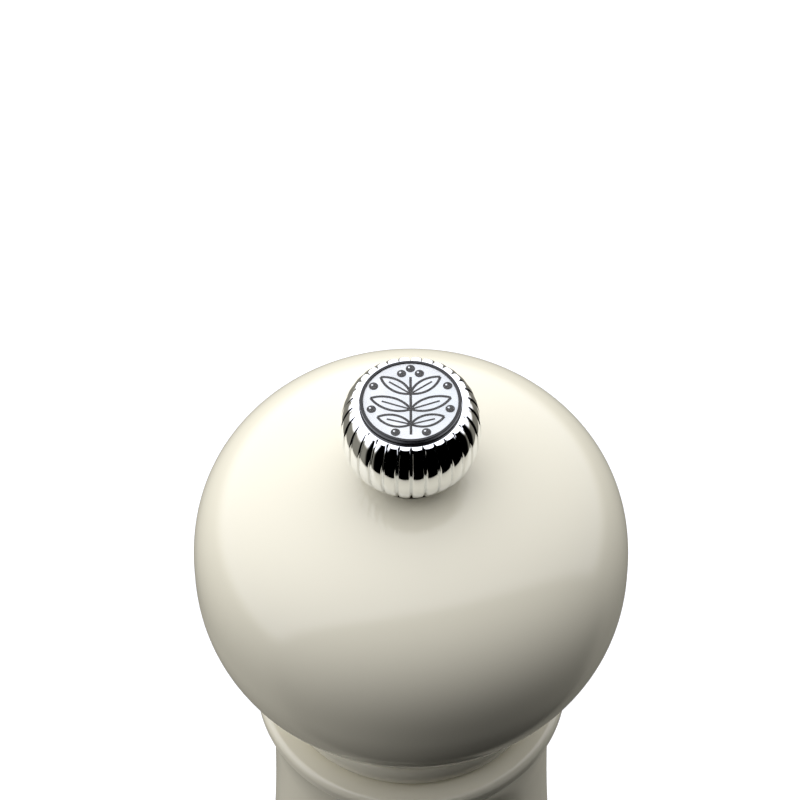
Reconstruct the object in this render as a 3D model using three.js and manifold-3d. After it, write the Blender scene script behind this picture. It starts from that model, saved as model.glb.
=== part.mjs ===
// A knob-adjusted pepper mill: turned wooden body, round turned head and a ribbed metal knob.
// Millimetres, +Z up. The origin is the centre of the foot, on the surface the mill stands on.
import * as THREE from "three";
import { mergeVertices } from "three/addons/utils/BufferGeometryUtils.js";
import Module from "manifold-3d";

// Whole mill
const TOTAL_HEIGHT = 180;
const GAP = 0.3; // the space kept between touching pieces
const ROUND = 36; // sides of the large turned pieces
const SMALL_ROUND = 24; // sides of washers and bushes
const HOLE_SIDES = 12;
const SCREW_SIDES = 16;

// Body: foot beads, a bell that narrows to the waist, and the cup that carries the head
const FOOT_INNER_RADIUS = 19.5;
const FOOT_FACE_RADIUS = 26.2;
const FOOT_BEAD_OUT = 2.3;
const FOOT_BEAD_HEIGHT = 6.6;
const GROOVE_RADIUS = 26.0;
const GROOVE_HEIGHT = 0.8;
const UPPER_BEAD_OUT = 1.4;
const UPPER_BEAD_HEIGHT = 4.0;
const BELL_RADIUS = 26.6;
const BELL_Z = 16;
const WAIST_RADIUS = 18.3;
const WAIST_Z = 109.2;
const CUP_RADIUS = 20.3;
const CUP_EDGE_Z = 119.4;
const BODY_TOP_Z = 121.5;
const CHAMBER_RADIUS = 13.5;
const MOUTH_CHAMFER = 0.8;
const BURR_BORE_RADIUS = 15;
const PLATE_SHOULDER_Z = 12; // where the burr plate is screwed on
const BURR_SHOULDER_Z = 23.6; // where the wide burr bore steps in to the chamber

// Head: a flattened ball on a short neck, with a tenon that turns in the body's mouth
const BALL_RADIUS = 27;
const BALL_Z = 147.4;
const BALL_UP = { height: 20.25, along: 2.8, across: 2.25 };
const BALL_DOWN = { height: 20.5, along: 2.2, across: 2.2 };
const NECK_RADIUS = 16.8;
const NECK_BEAD_RADIUS = 17.7;
const NECK_BEAD_HEIGHT = 3.0;
const HEAD_BOTTOM_Z = BODY_TOP_Z + GAP;
const HEAD_TOP_RADIUS = 6.2;
const TENON_RADIUS = 13.1;
const TENON_LENGTH = 9.2;
const HEAD_BORE_RADIUS = 4;

// Top bush, let into the head where the spindle comes out
const BUSH_OUTER_RADIUS = 4.9;
const BUSH_INNER_RADIUS = 3.9;
const BUSH_HEIGHT = 3;

// Drive plate under the tenon, and its screws
const DRIVE_PLATE_RADIUS = 12.4;
const DRIVE_PLATE_THICKNESS = 1.5;
const DRIVE_SCREW_CIRCLE = 8;
const DRIVE_SCREW = { headRadius: 2.5, headHeight: 1.3, shankRadius: 1.15, shankLength: 8.5 };

// Spindle: square shaft with a plain stub below and a threaded end above
const SHAFT_SIDE = 5;
const SQUARE_HOLE_SIDE = SHAFT_SIDE + 2 * GAP;
const THREAD_RADIUS = 2.4;
const THREAD_HOLE_RADIUS = THREAD_RADIUS + GAP;
const SHAFT_SHOULDER_Z = 165.2;
const SHAFT_TOP_Z = 174.4;

// Burrs
const FEMALE_BURR_RADIUS = 14.7;
const FEMALE_BURR_HEIGHT = 9;
const FEMALE_TEETH = 18;
const FEMALE_TOOTH_DEPTH = 0.9;
const FEMALE_LAND = { radius: 9.2, height: 3.5 }; // the narrowest ring of teeth
const FEMALE_BOTTOM_RADIUS = 10.4;
const FEMALE_TOP_RADIUS = 10.8;
const MALE_BURR_HEIGHT = 8;
const MALE_BURR_Z = 10.2;
const MALE_TEETH = 12;
const MALE_TOOTH_DEPTH = 1.3;
const MALE_TWIST = 0.5; // radians over the burr's height
const MALE_BOTTOM_RADIUS = 9.9;
const MALE_SHOULDER = { radius: 8.6, height: 5.3 };
const MALE_TOP_RADIUS = 6.7;
const BURR_STEPS = 4;

// Burr plate, bridge, spring and the pieces on the spindle
const PLATE_RADIUS = 19.2;
const PLATE_HOLE_RADIUS = 12;
const PLATE_THICKNESS = 1.2;
const PLATE_SCREWS = 3;
const PLATE_SCREW_CIRCLE = 17.2;
const PLATE_SCREW = { headRadius: 1.9, headHeight: 1.2, shankRadius: 1.05, shankLength: 9 };
const BRIDGE_RING_HEIGHT = 2;
const BRIDGE_WIDTH = 4.5;
const HUB_RADIUS = 5.4;
const HUB_BOTTOM_Z = 26.4;
const HUB_HEIGHT = 5;
const SEAT_RADIUS = 5.8;
const SEAT_THICKNESS = 1.2;
const SPRING_RADIUS = 4.6;
const WIRE_RADIUS = 0.45;
const SPRING_TURNS = 3.5;
const BURR_WASHER_RADIUS = 5;
const BURR_WASHER_THICKNESS = 0.6;
const NUT_RADIUS = 4.05;
const NUT_HEIGHT = 2.2;

// Knob
const KNOB_FLUTES = 30;
const KNOB_FOOT_RADIUS = 4.6;
const KNOB_RADIUS = 8.4;
const KNOB_RIM_RADIUS = 7;
const KNOB_RIM_DROP = 0.9; // the chrome rim lies this far below the top of the clear dome
const FLUTE_DEPTH = 0.3;
const INSERT_RADIUS = 3.5;
const INSERT_HEIGHT = 6.4;
const TRIM_OUTER_RADIUS = 6.1;
const TRIM_INNER_RADIUS = 5.75;
const TRIM_DROP = 0.3; // the black ring's top lies this far below the top of the clear dome
const TRIM_DEPTH = 1;
const TRIM_FOOT_Z = TOTAL_HEIGHT - TRIM_DROP - TRIM_DEPTH;
const MEDALLION_RADIUS = 5.4;
const MEDALLION_THICKNESS = 0.45;
const KNOB_WASHER_RADIUS = 4.4;
const KNOB_WASHER_THICKNESS = 0.5;

const LACQUER = { color: 0xf1e9da, roughness: 0.12, metalness: 0 };
const CHROME = { color: 0xe4e6e8, roughness: 0.06, metalness: 1 };
const STEEL = { color: 0x9a9c9e, roughness: 0.35, metalness: 1 };
const DARK_STEEL = { color: 0x55585b, roughness: 0.45, metalness: 1 };
const BRASS = { color: 0xc9a04f, roughness: 0.3, metalness: 1 };
const BLACK_TRIM = { color: 0x1b1b1d, roughness: 0.35, metalness: 0 };
const WHITE_ENAMEL = { color: 0xe9edf2, roughness: 0.3, metalness: 0 };
const CLEAR_RESIN = { color: 0xffffff, roughness: 0.03, metalness: 0, transparent: true, opacity: 0.35 };

const wasm = await Module();
wasm.setup();

const FULL_TURN = 2 * Math.PI;

// --- geometry helpers ---

// A geometry as a manifold-3d solid, from its positions alone.
function toSolid(geometry) {
  const bare = new THREE.BufferGeometry();
  bare.setAttribute("position", geometry.getAttribute("position"));
  bare.setIndex(geometry.index);
  const merged = mergeVertices(bare, 1e-3);
  return new wasm.Manifold(
    new wasm.Mesh({
      numProp: 3,
      vertProperties: merged.attributes.position.array,
      triVerts: new Uint32Array(merged.index.array),
    }),
  );
}

function toGeometry(solid) {
  const mesh = solid.getMesh();
  const geometry = new THREE.BufferGeometry();
  geometry.setAttribute("position", new THREE.BufferAttribute(mesh.vertProperties, 3));
  geometry.setIndex(new THREE.BufferAttribute(mesh.triVerts, 1));
  geometry.computeVertexNormals();
  return geometry;
}

function cut(geometry, ...tools) {
  return toGeometry(tools.reduce((solid, tool) => solid.subtract(toSolid(tool)), toSolid(geometry)));
}

function join(geometry, ...others) {
  return toGeometry(others.reduce((solid, other) => solid.add(toSolid(other)), toSolid(geometry)));
}

// Turns an outline of [radius, height] points about the Z axis; it runs up the outside.
function turned(outline, sides = SMALL_ROUND) {
  const points = outline.map(([radius, height]) => new THREE.Vector2(radius, height));
  return new THREE.LatheGeometry(points, sides).rotateX(Math.PI / 2);
}

// The same for a ring, whose outline closes on itself.
function turnedRing(outline, sides = SMALL_ROUND) {
  return turned([...outline, outline[0]], sides);
}

function rod(radius, bottom, top, sides = SMALL_ROUND) {
  return turned([[0, bottom], [radius, bottom], [radius, top], [0, top]], sides);
}

function flatRing(inner, outer, thickness, sides = SMALL_ROUND) {
  return turnedRing([[inner, 0], [outer, 0], [outer, thickness], [inner, thickness]], sides);
}

// Points of an upright bead: a half ellipse that stands out by `out` over `height`.
function bead(radius, bottom, height, out, steps) {
  return Array.from({ length: steps + 1 }, (_, i) => {
    const angle = Math.PI * (i / steps - 0.5);
    return [radius + out * Math.cos(angle), bottom + height / 2 + (height / 2) * Math.sin(angle)];
  });
}

function bezier(start, startHandle, endHandle, end, steps) {
  const vectors = [start, startHandle, endHandle, end].map((p) => new THREE.Vector2(...p));
  return new THREE.CubicBezierCurve(...vectors).getPoints(steps).map((p) => [p.x, p.y]);
}

// Height of the ball's surface above its widest plane; `half` holds that half's height and powers.
function ballHeight(radius, half) {
  return half.height * (1 - (radius / BALL_RADIUS) ** half.across) ** (1 / half.along);
}

// Points of half a ball, evenly spread in angle, from the radius `from` to the radius `to`.
function ballCurve(half, sign, from, to, steps) {
  const angleOf = (radius) => Math.acos(radius / BALL_RADIUS);
  return Array.from({ length: steps + 1 }, (_, i) => {
    const radius = BALL_RADIUS * Math.cos(angleOf(from) + (i / steps) * (angleOf(to) - angleOf(from)));
    return [radius, BALL_Z + sign * ballHeight(radius, half)];
  });
}

function squareShape(side) {
  const half = side / 2;
  const shape = new THREE.Shape();
  shape.moveTo(-half, -half);
  shape.lineTo(half, -half);
  shape.lineTo(half, half);
  shape.lineTo(-half, half);
  shape.closePath();
  return shape;
}

function polygonShape(points) {
  return new THREE.Shape(points.map(([x, y]) => new THREE.Vector2(x, y)));
}

function circlePoints(radius, sides) {
  return Array.from({ length: sides }, (_, i) => {
    const angle = (i / sides) * FULL_TURN;
    return [radius * Math.cos(angle), radius * Math.sin(angle)];
  });
}

// Saw-shaped teeth: each has a steep face and a long back.
function toothedPoints(teeth, tipRadius, rootRadius) {
  return Array.from({ length: teeth }, (_, tooth) => {
    const start = (tooth / teeth) * FULL_TURN;
    const back = start + (0.3 * FULL_TURN) / teeth;
    return [
      [tipRadius * Math.cos(start), tipRadius * Math.sin(start)],
      [rootRadius * Math.cos(back), rootRadius * Math.sin(back)],
    ];
  }).flat();
}

function extrude(shape, depth, steps = 1) {
  return new THREE.ExtrudeGeometry(shape, { depth, steps, bevelEnabled: false });
}

// A pan-head screw that points up: its head is below z = 0 and its shank above.
function screwGeometry({ headRadius, headHeight, shankRadius, shankLength }) {
  const slotWidth = 0.5 * headHeight;
  const body = turned(
    [
      [0, -headHeight],
      [headRadius * 0.7, -headHeight],
      [headRadius, -headHeight * 0.55],
      [headRadius, 0],
      [shankRadius, 0],
      [shankRadius, shankLength - 2 * shankRadius],
      [0, shankLength],
    ],
    SCREW_SIDES,
  );
  const slot = new THREE.BoxGeometry(3 * headRadius, slotWidth, headHeight);
  slot.translate(0, 0, -headHeight);
  return cut(body, slot);
}

// --- the pieces ---

function bodyGeometry() {
  const footTop = FOOT_BEAD_HEIGHT;
  const upperBeadZ = footTop + GROOVE_HEIGHT;
  const outline = [
    [FOOT_INNER_RADIUS, 0],
    ...bead(FOOT_FACE_RADIUS, 0, FOOT_BEAD_HEIGHT, FOOT_BEAD_OUT, 6),
    [GROOVE_RADIUS, footTop + 0.1],
    ...bead(GROOVE_RADIUS, upperBeadZ, UPPER_BEAD_HEIGHT, UPPER_BEAD_OUT, 4),
    [GROOVE_RADIUS - 0.6, upperBeadZ + UPPER_BEAD_HEIGHT + 0.8],
    ...bezier([BELL_RADIUS, BELL_Z], [24, 42], [18.6, 72], [WAIST_RADIUS, WAIST_Z], 9),
    [WAIST_RADIUS + 0.35, WAIST_Z + 4],
    [WAIST_RADIUS + 1.2, WAIST_Z + 7.6],
    [CUP_RADIUS, CUP_EDGE_Z],
    [CUP_RADIUS, CUP_EDGE_Z + 1.1],
    [CUP_RADIUS - 0.9, BODY_TOP_Z],
    [CHAMBER_RADIUS + MOUTH_CHAMFER, BODY_TOP_Z],
    [CHAMBER_RADIUS, BODY_TOP_Z - MOUTH_CHAMFER],
    [CHAMBER_RADIUS, BURR_SHOULDER_Z],
    [BURR_BORE_RADIUS, BURR_SHOULDER_Z],
    [BURR_BORE_RADIUS, PLATE_SHOULDER_Z],
    [FOOT_INNER_RADIUS, PLATE_SHOULDER_Z],
  ];
  const holes = screwHoles(plateScrewPlaces(), PLATE_SCREW, PLATE_SHOULDER_Z);
  return cut(turnedRing(outline, ROUND), ...holes);
}

// Clearance holes for screws whose heads are below the height z.
function screwHoles(places, screw, z) {
  const radius = screw.shankRadius + GAP;
  return places.map(([x, y]) => {
    const hole = rod(radius, z - screw.headHeight, z + screw.shankLength, HOLE_SIDES);
    return hole.translate(x, y, 0);
  });
}

function plateScrewPlaces() {
  return circlePoints(PLATE_SCREW_CIRCLE, PLATE_SCREWS);
}

function driveScrewPlaces() {
  return [-1, 1].map((side) => [side * DRIVE_SCREW_CIRCLE, 0]);
}

function headGeometry() {
  const tenonBottom = HEAD_BOTTOM_Z - TENON_LENGTH;
  const topZ = BALL_Z + ballHeight(HEAD_TOP_RADIUS, BALL_UP);
  const bushHole = BUSH_OUTER_RADIUS + GAP;
  const bushFloor = topZ - BUSH_HEIGHT - GAP;
  const beadTop = HEAD_BOTTOM_Z + NECK_BEAD_HEIGHT;
  const outline = [
    [HEAD_BORE_RADIUS, tenonBottom],
    [TENON_RADIUS - 0.6, tenonBottom],
    [TENON_RADIUS, tenonBottom + 0.6],
    [TENON_RADIUS, HEAD_BOTTOM_Z],
    ...bead(NECK_RADIUS, HEAD_BOTTOM_Z, NECK_BEAD_HEIGHT, NECK_BEAD_RADIUS - NECK_RADIUS, 4),
    [NECK_RADIUS - 0.5, beadTop + 0.8],
    [NECK_RADIUS - 0.4, beadTop + 3.4],
    ...ballCurve(BALL_DOWN, -1, NECK_RADIUS, BALL_RADIUS, 7),
    ...ballCurve(BALL_UP, 1, BALL_RADIUS, HEAD_TOP_RADIUS, 10).slice(1),
    [bushHole, topZ],
    [bushHole, bushFloor],
    [HEAD_BORE_RADIUS, bushFloor],
  ];
  return cut(turnedRing(outline, ROUND), ...screwHoles(driveScrewPlaces(), DRIVE_SCREW, tenonBottom));
}

function drivePlateGeometry() {
  const plate = rod(DRIVE_PLATE_RADIUS, 0, DRIVE_PLATE_THICKNESS);
  const square = extrude(squareShape(SQUARE_HOLE_SIDE), 3 * DRIVE_PLATE_THICKNESS);
  square.translate(0, 0, -DRIVE_PLATE_THICKNESS);
  return cut(plate, square, ...screwHoles(driveScrewPlaces(), DRIVE_SCREW, 0));
}

function burrPlateGeometry() {
  const plate = flatRing(PLATE_HOLE_RADIUS, PLATE_RADIUS, PLATE_THICKNESS);
  return cut(plate, ...screwHoles(plateScrewPlaces(), PLATE_SCREW, 0));
}

// Scales and twists an extruded burr ring by ring, leaving its square hole as it is.
function shapeBurr(geometry, isTooth, scaleAt, twistAt) {
  const position = geometry.getAttribute("position");
  for (let i = 0; i < position.count; i += 1) {
    const x = position.getX(i);
    const y = position.getY(i);
    const z = position.getZ(i);
    if (!isTooth(Math.hypot(x, y))) {
      continue;
    }
    const scale = scaleAt(z);
    const turn = twistAt(z);
    const newX = scale * (x * Math.cos(turn) - y * Math.sin(turn));
    const newY = scale * (x * Math.sin(turn) + y * Math.cos(turn));
    position.setXYZ(i, newX, newY, z);
  }
  return geometry;
}

function between(value, [fromX, fromY], [toX, toY]) {
  return fromY + ((value - fromX) / (toX - fromX)) * (toY - fromY);
}

// The teeth open downwards below the land, so that lifting the male burr closes the gap.
function femaleBurrGeometry() {
  const shape = polygonShape(circlePoints(FEMALE_BURR_RADIUS, ROUND));
  const rootRadius = FEMALE_LAND.radius + FEMALE_TOOTH_DEPTH;
  shape.holes.push(polygonShape(toothedPoints(FEMALE_TEETH, FEMALE_LAND.radius, rootRadius)));
  const bottom = [0, FEMALE_BOTTOM_RADIUS];
  const land = [FEMALE_LAND.height, FEMALE_LAND.radius];
  const top = [FEMALE_BURR_HEIGHT, FEMALE_TOP_RADIUS];
  return shapeBurr(
    extrude(shape, FEMALE_BURR_HEIGHT, BURR_STEPS),
    (radius) => radius < rootRadius + FEMALE_TOOTH_DEPTH,
    (z) => (z < land[0] ? between(z, bottom, land) : between(z, land, top)) / FEMALE_LAND.radius,
    () => 0,
  );
}

function maleBurrGeometry() {
  const rootRadius = MALE_BOTTOM_RADIUS - MALE_TOOTH_DEPTH;
  const shape = polygonShape(toothedPoints(MALE_TEETH, MALE_BOTTOM_RADIUS, rootRadius));
  shape.holes.push(squareShape(SQUARE_HOLE_SIDE));
  const bottom = [0, MALE_BOTTOM_RADIUS];
  const shoulder = [MALE_SHOULDER.height, MALE_SHOULDER.radius];
  const top = [MALE_BURR_HEIGHT, MALE_TOP_RADIUS];
  return shapeBurr(
    extrude(shape, MALE_BURR_HEIGHT, BURR_STEPS),
    (radius) => radius > SQUARE_HOLE_SIDE,
    (z) => (z < shoulder[0] ? between(z, bottom, shoulder) : between(z, shoulder, top)) / bottom[1],
    (z) => (MALE_TWIST * z) / MALE_BURR_HEIGHT,
  );
}

// A ring that is clamped under the chamber, with an arch across it that carries the spindle's hub.
function bridgeGeometry() {
  const ringInner = PLATE_HOLE_RADIUS + 0.6;
  const ring = flatRing(ringInner, FEMALE_BURR_RADIUS, BRIDGE_RING_HEIGHT, ROUND);
  const hubZ = HUB_BOTTOM_Z - bridgeZ();
  const underside = hubZ + 0.8;
  const top = underside + 3;
  const footReach = FEMALE_BURR_RADIUS - 1.7;
  const arch = extrude(
    polygonShape([
      [-footReach, 0.4],
      [-ringInner + 0.8, 0.4],
      [-6.4, underside],
      [6.4, underside],
      [ringInner - 0.8, 0.4],
      [footReach, 0.4],
      [footReach, 2.6],
      [6.8, top],
      [-6.8, top],
      [-footReach, 2.6],
    ]),
    BRIDGE_WIDTH,
  );
  arch.rotateX(Math.PI / 2).translate(0, BRIDGE_WIDTH / 2, 0);
  const hub = rod(HUB_RADIUS, hubZ, hubZ + HUB_HEIGHT);
  const bore = rod(BUSH_INNER_RADIUS, hubZ - 1, hubZ + HUB_HEIGHT + 1);
  return cut(join(ring, arch, hub), bore);
}

function bridgeZ() {
  return PLATE_SHOULDER_Z + FEMALE_BURR_HEIGHT + GAP;
}

function springSeatGeometry() {
  const square = extrude(squareShape(SQUARE_HOLE_SIDE), 3 * SEAT_THICKNESS);
  square.translate(0, 0, -SEAT_THICKNESS);
  return cut(rod(SEAT_RADIUS, 0, SEAT_THICKNESS), square);
}

class Helix extends THREE.Curve {
  constructor(radius, height, turns) {
    super();
    this.radius = radius;
    this.height = height;
    this.turns = turns;
  }

  getPoint(t, target = new THREE.Vector3()) {
    const angle = t * this.turns * FULL_TURN;
    return target.set(this.radius * Math.cos(angle), this.radius * Math.sin(angle), t * this.height);
  }
}

function springGeometry(length) {
  const helix = new Helix(SPRING_RADIUS, length - 2.5 * WIRE_RADIUS, SPRING_TURNS);
  const wire = polygonShape(circlePoints(WIRE_RADIUS, 6));
  const spring = new THREE.ExtrudeGeometry(wire, { steps: 14 * SPRING_TURNS, extrudePath: helix });
  return spring.translate(0, 0, 1.25 * WIRE_RADIUS);
}

function spindleGeometry(bottom) {
  const shaft = extrude(squareShape(SHAFT_SIDE), SHAFT_SHOULDER_Z - MALE_BURR_Z);
  shaft.translate(0, 0, MALE_BURR_Z);
  const stub = rod(THREAD_RADIUS, bottom, MALE_BURR_Z + 1, SCREW_SIDES);
  const thread = turned(
    [
      [0, SHAFT_SHOULDER_Z - 1],
      [THREAD_RADIUS, SHAFT_SHOULDER_Z - 1],
      [THREAD_RADIUS, SHAFT_TOP_Z - 0.6],
      [THREAD_RADIUS - 0.6, SHAFT_TOP_Z],
      [0, SHAFT_TOP_Z],
    ],
    SCREW_SIDES,
  );
  return join(shaft, stub, thread);
}

function nutGeometry() {
  const shape = polygonShape(circlePoints(NUT_RADIUS, 6));
  shape.holes.push(polygonShape(circlePoints(THREAD_HOLE_RADIUS, SCREW_SIDES)));
  return extrude(shape, NUT_HEIGHT);
}

function knobGeometry(bottom) {
  const rimZ = TOTAL_HEIGHT - KNOB_RIM_DROP;
  const recessRadius = TRIM_OUTER_RADIUS + GAP;
  const recessFloor = TRIM_FOOT_Z - GAP;
  const outline = [
    [0, bottom],
    [KNOB_FOOT_RADIUS, bottom],
    ...bezier(
      [KNOB_FOOT_RADIUS + 0.2, bottom + 0.3],
      [KNOB_FOOT_RADIUS + 2.2, bottom + 1.6],
      [KNOB_RADIUS, bottom + 3],
      [KNOB_RADIUS, bottom + 5.8],
      5,
    ),
    [KNOB_RADIUS - 0.15, bottom + 7.8],
    [KNOB_RADIUS - 0.6, rimZ - 0.8],
    [KNOB_RIM_RADIUS, rimZ],
    [recessRadius, rimZ],
    [recessRadius, recessFloor],
    [0, recessFloor],
  ];
  const cavity = rod(INSERT_RADIUS + GAP, bottom - 1, bottom + INSERT_HEIGHT + 2 * GAP);
  return cut(fluted(turned(outline, 2 * KNOB_FLUTES)), cavity);
}

// Sinks every second line of points on the knob's widest part, to make its flutes.
function fluted(blank) {
  const position = blank.getAttribute("position");
  for (let i = 0; i < position.count; i += 1) {
    const x = position.getX(i);
    const y = position.getY(i);
    const radius = Math.hypot(x, y);
    const step = Math.round((Math.atan2(y, x) / FULL_TURN) * 2 * KNOB_FLUTES);
    if (radius > KNOB_RIM_RADIUS - 0.1 && step % 2 !== 0) {
      const scale = (radius - FLUTE_DEPTH) / radius;
      position.setXYZ(i, x * scale, y * scale, position.getZ(i));
    }
  }
  return blank;
}

// A shallow clear dome, flat underneath.
function domeGeometry(height) {
  const steps = 5;
  const edge = 0.2;
  const cap = Array.from({ length: steps + 1 }, (_, i) => {
    const angle = (i / steps) * (Math.PI / 2);
    return [MEDALLION_RADIUS * Math.cos(angle), edge + (height - edge) * Math.sin(angle)];
  });
  return turned([[0, 0], [MEDALLION_RADIUS, 0], ...cap.slice(0, -1), [0, height]]);
}

// --- the assembly ---

function piece(name, geometry, finish, z = 0, x = 0, y = 0) {
  const mesh = new THREE.Mesh(geometry, new THREE.MeshStandardMaterial(finish));
  mesh.name = name;
  mesh.position.set(x, y, z);
  return mesh;
}

function millBody() {
  const group = new THREE.Group();
  const plateZ = PLATE_SHOULDER_Z - GAP - PLATE_THICKNESS;
  group.add(piece("body_shell", bodyGeometry(), LACQUER));
  group.add(piece("burr_plate", burrPlateGeometry(), STEEL, plateZ));
  group.add(piece("female_burr", femaleBurrGeometry(), DARK_STEEL, PLATE_SHOULDER_Z));
  group.add(piece("bridge", bridgeGeometry(), STEEL, bridgeZ()));
  plateScrewPlaces().forEach(([x, y], i) => {
    group.add(piece(`plate_screw_${i + 1}`, screwGeometry(PLATE_SCREW), STEEL, plateZ - GAP, x, y));
  });
  return group;
}

function spindleParts() {
  const group = new THREE.Group();
  const washerZ = MALE_BURR_Z - GAP - BURR_WASHER_THICKNESS;
  const nutZ = washerZ - GAP - NUT_HEIGHT;
  const seatZ = HUB_BOTTOM_Z - GAP - SEAT_THICKNESS;
  const springZ = MALE_BURR_Z + MALE_BURR_HEIGHT + GAP;
  const washer = flatRing(THREAD_HOLE_RADIUS, BURR_WASHER_RADIUS, BURR_WASHER_THICKNESS);
  group.add(piece("spring_seat", springSeatGeometry(), BRASS, seatZ));
  group.add(piece("burr_spring", springGeometry(seatZ - GAP - springZ), STEEL, springZ));
  group.add(piece("spindle", spindleGeometry(nutZ - 0.6), STEEL));
  group.add(piece("male_burr", maleBurrGeometry(), DARK_STEEL, MALE_BURR_Z));
  group.add(piece("burr_washer", washer, BRASS, washerZ));
  group.add(piece("burr_nut", nutGeometry(), STEEL, nutZ));
  return group;
}

function headParts(topZ) {
  const group = new THREE.Group();
  const plateZ = HEAD_BOTTOM_Z - TENON_LENGTH - GAP - DRIVE_PLATE_THICKNESS;
  const bush = flatRing(BUSH_INNER_RADIUS, BUSH_OUTER_RADIUS, BUSH_HEIGHT);
  group.add(piece("head_shell", headGeometry(), LACQUER));
  group.add(piece("top_bush", bush, BRASS, topZ - BUSH_HEIGHT));
  group.add(piece("drive_plate", drivePlateGeometry(), STEEL, plateZ));
  driveScrewPlaces().forEach(([x, y], i) => {
    group.add(piece(`drive_screw_${i + 1}`, screwGeometry(DRIVE_SCREW), STEEL, plateZ - GAP, x, y));
  });
  return group;
}

function knobParts(headTopZ) {
  const group = new THREE.Group();
  const washerZ = headTopZ + GAP;
  const knobZ = washerZ + KNOB_WASHER_THICKNESS + GAP;
  const domeZ = TRIM_FOOT_Z + MEDALLION_THICKNESS + GAP;
  const washer = flatRing(BUSH_INNER_RADIUS, KNOB_WASHER_RADIUS, KNOB_WASHER_THICKNESS);
  const insert = flatRing(THREAD_HOLE_RADIUS, INSERT_RADIUS, INSERT_HEIGHT);
  const trim = flatRing(TRIM_INNER_RADIUS, TRIM_OUTER_RADIUS, TRIM_DEPTH);
  const medallion = rod(MEDALLION_RADIUS, 0, MEDALLION_THICKNESS);
  group.add(piece("knob_washer", washer, BRASS, washerZ));
  group.add(piece("knob_shell", knobGeometry(knobZ), CHROME));
  group.add(piece("knob_insert", insert, BRASS, knobZ + 0.2));
  group.add(piece("trim_ring", trim, BLACK_TRIM, TRIM_FOOT_Z));
  group.add(piece("medallion", medallion, WHITE_ENAMEL, TRIM_FOOT_Z));
  group.add(piece("medallion_dome", domeGeometry(TOTAL_HEIGHT - domeZ), CLEAR_RESIN, domeZ));
  return group;
}

const headTopZ = BALL_Z + ballHeight(HEAD_TOP_RADIUS, BALL_UP);
const pepperMill = new THREE.Group();
pepperMill.add(millBody());
pepperMill.add(spindleParts());
pepperMill.add(headParts(headTopZ));
pepperMill.add(knobParts(headTopZ));

export default pepperMill;
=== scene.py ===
"""Looks of a knob-adjusted pepper mill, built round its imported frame.

Every turned piece is a profile that one Geometry Nodes lathe spins about the mill's axis. The
lathe can also mill flats, cut ribs, teeth and threads, so one tree makes the lacquered body and
head, the ribbed knob, the burrs, the spindle, the nut and the screws.

Sizes in the classes are millimetres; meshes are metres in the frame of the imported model.
"""

from __future__ import annotations

import logging
import math
from dataclasses import dataclass, field
from enum import Enum
from typing import Callable, Iterable, Sequence

import bmesh
import bpy
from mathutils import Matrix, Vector


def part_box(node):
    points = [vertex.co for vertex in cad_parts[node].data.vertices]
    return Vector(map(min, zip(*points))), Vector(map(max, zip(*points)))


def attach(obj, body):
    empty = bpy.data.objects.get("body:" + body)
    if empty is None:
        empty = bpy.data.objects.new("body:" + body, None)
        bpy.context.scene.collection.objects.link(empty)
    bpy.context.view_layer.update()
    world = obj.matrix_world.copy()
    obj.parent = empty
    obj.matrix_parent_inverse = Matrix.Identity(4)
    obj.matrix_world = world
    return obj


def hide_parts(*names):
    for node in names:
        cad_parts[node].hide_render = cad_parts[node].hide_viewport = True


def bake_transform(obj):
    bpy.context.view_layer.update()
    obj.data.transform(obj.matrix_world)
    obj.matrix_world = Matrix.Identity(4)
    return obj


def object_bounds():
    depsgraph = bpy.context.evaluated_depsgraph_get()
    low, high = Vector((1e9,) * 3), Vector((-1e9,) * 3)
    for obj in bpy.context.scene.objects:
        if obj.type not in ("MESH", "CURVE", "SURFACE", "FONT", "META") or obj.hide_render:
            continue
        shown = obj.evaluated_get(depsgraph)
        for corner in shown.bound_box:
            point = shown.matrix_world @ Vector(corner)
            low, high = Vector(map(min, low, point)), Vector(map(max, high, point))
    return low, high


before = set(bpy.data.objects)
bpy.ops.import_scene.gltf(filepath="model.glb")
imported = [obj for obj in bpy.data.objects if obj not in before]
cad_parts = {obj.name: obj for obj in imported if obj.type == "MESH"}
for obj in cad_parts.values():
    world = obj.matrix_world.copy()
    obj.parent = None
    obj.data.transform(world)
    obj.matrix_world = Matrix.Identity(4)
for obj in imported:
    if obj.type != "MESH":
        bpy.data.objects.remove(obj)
CAD_BOX = [list(corner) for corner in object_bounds()]

LOG = logging.getLogger("pepper_mill")
MM = 0.001
FULL_TURN = 2 * math.pi
SEED = 7
THREAD_PITCH = 0.8
SQUARE_HOLE = 5.6
SQUARE_HOLE_BLANK = 2.9

Point = tuple[float, float]
Socket = bpy.types.NodeSocket


class Body(str, Enum):
    """The rigid bodies of the mill that pieces ride on."""

    MILL = "mill_body"
    SEAT = "spring_seat"
    SPINDLE = "spindle"
    HEAD = "head"
    WASHER = "knob_washer"
    KNOB = "knob"


class Slot(str, Enum):
    """Material slots of the record."""

    WOOD = "lacquered_wood"
    CHROME = "knob_chrome"
    BURR = "burr_steel"
    PLATED = "plated_steel"
    SPRING = "spring_steel"
    BRASS = "brass"
    TRIM = "black_trim"
    ENAMEL = "enamel"
    RESIN = "clear_resin"


# --------------------------------------------------------------------------- node helpers


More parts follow.
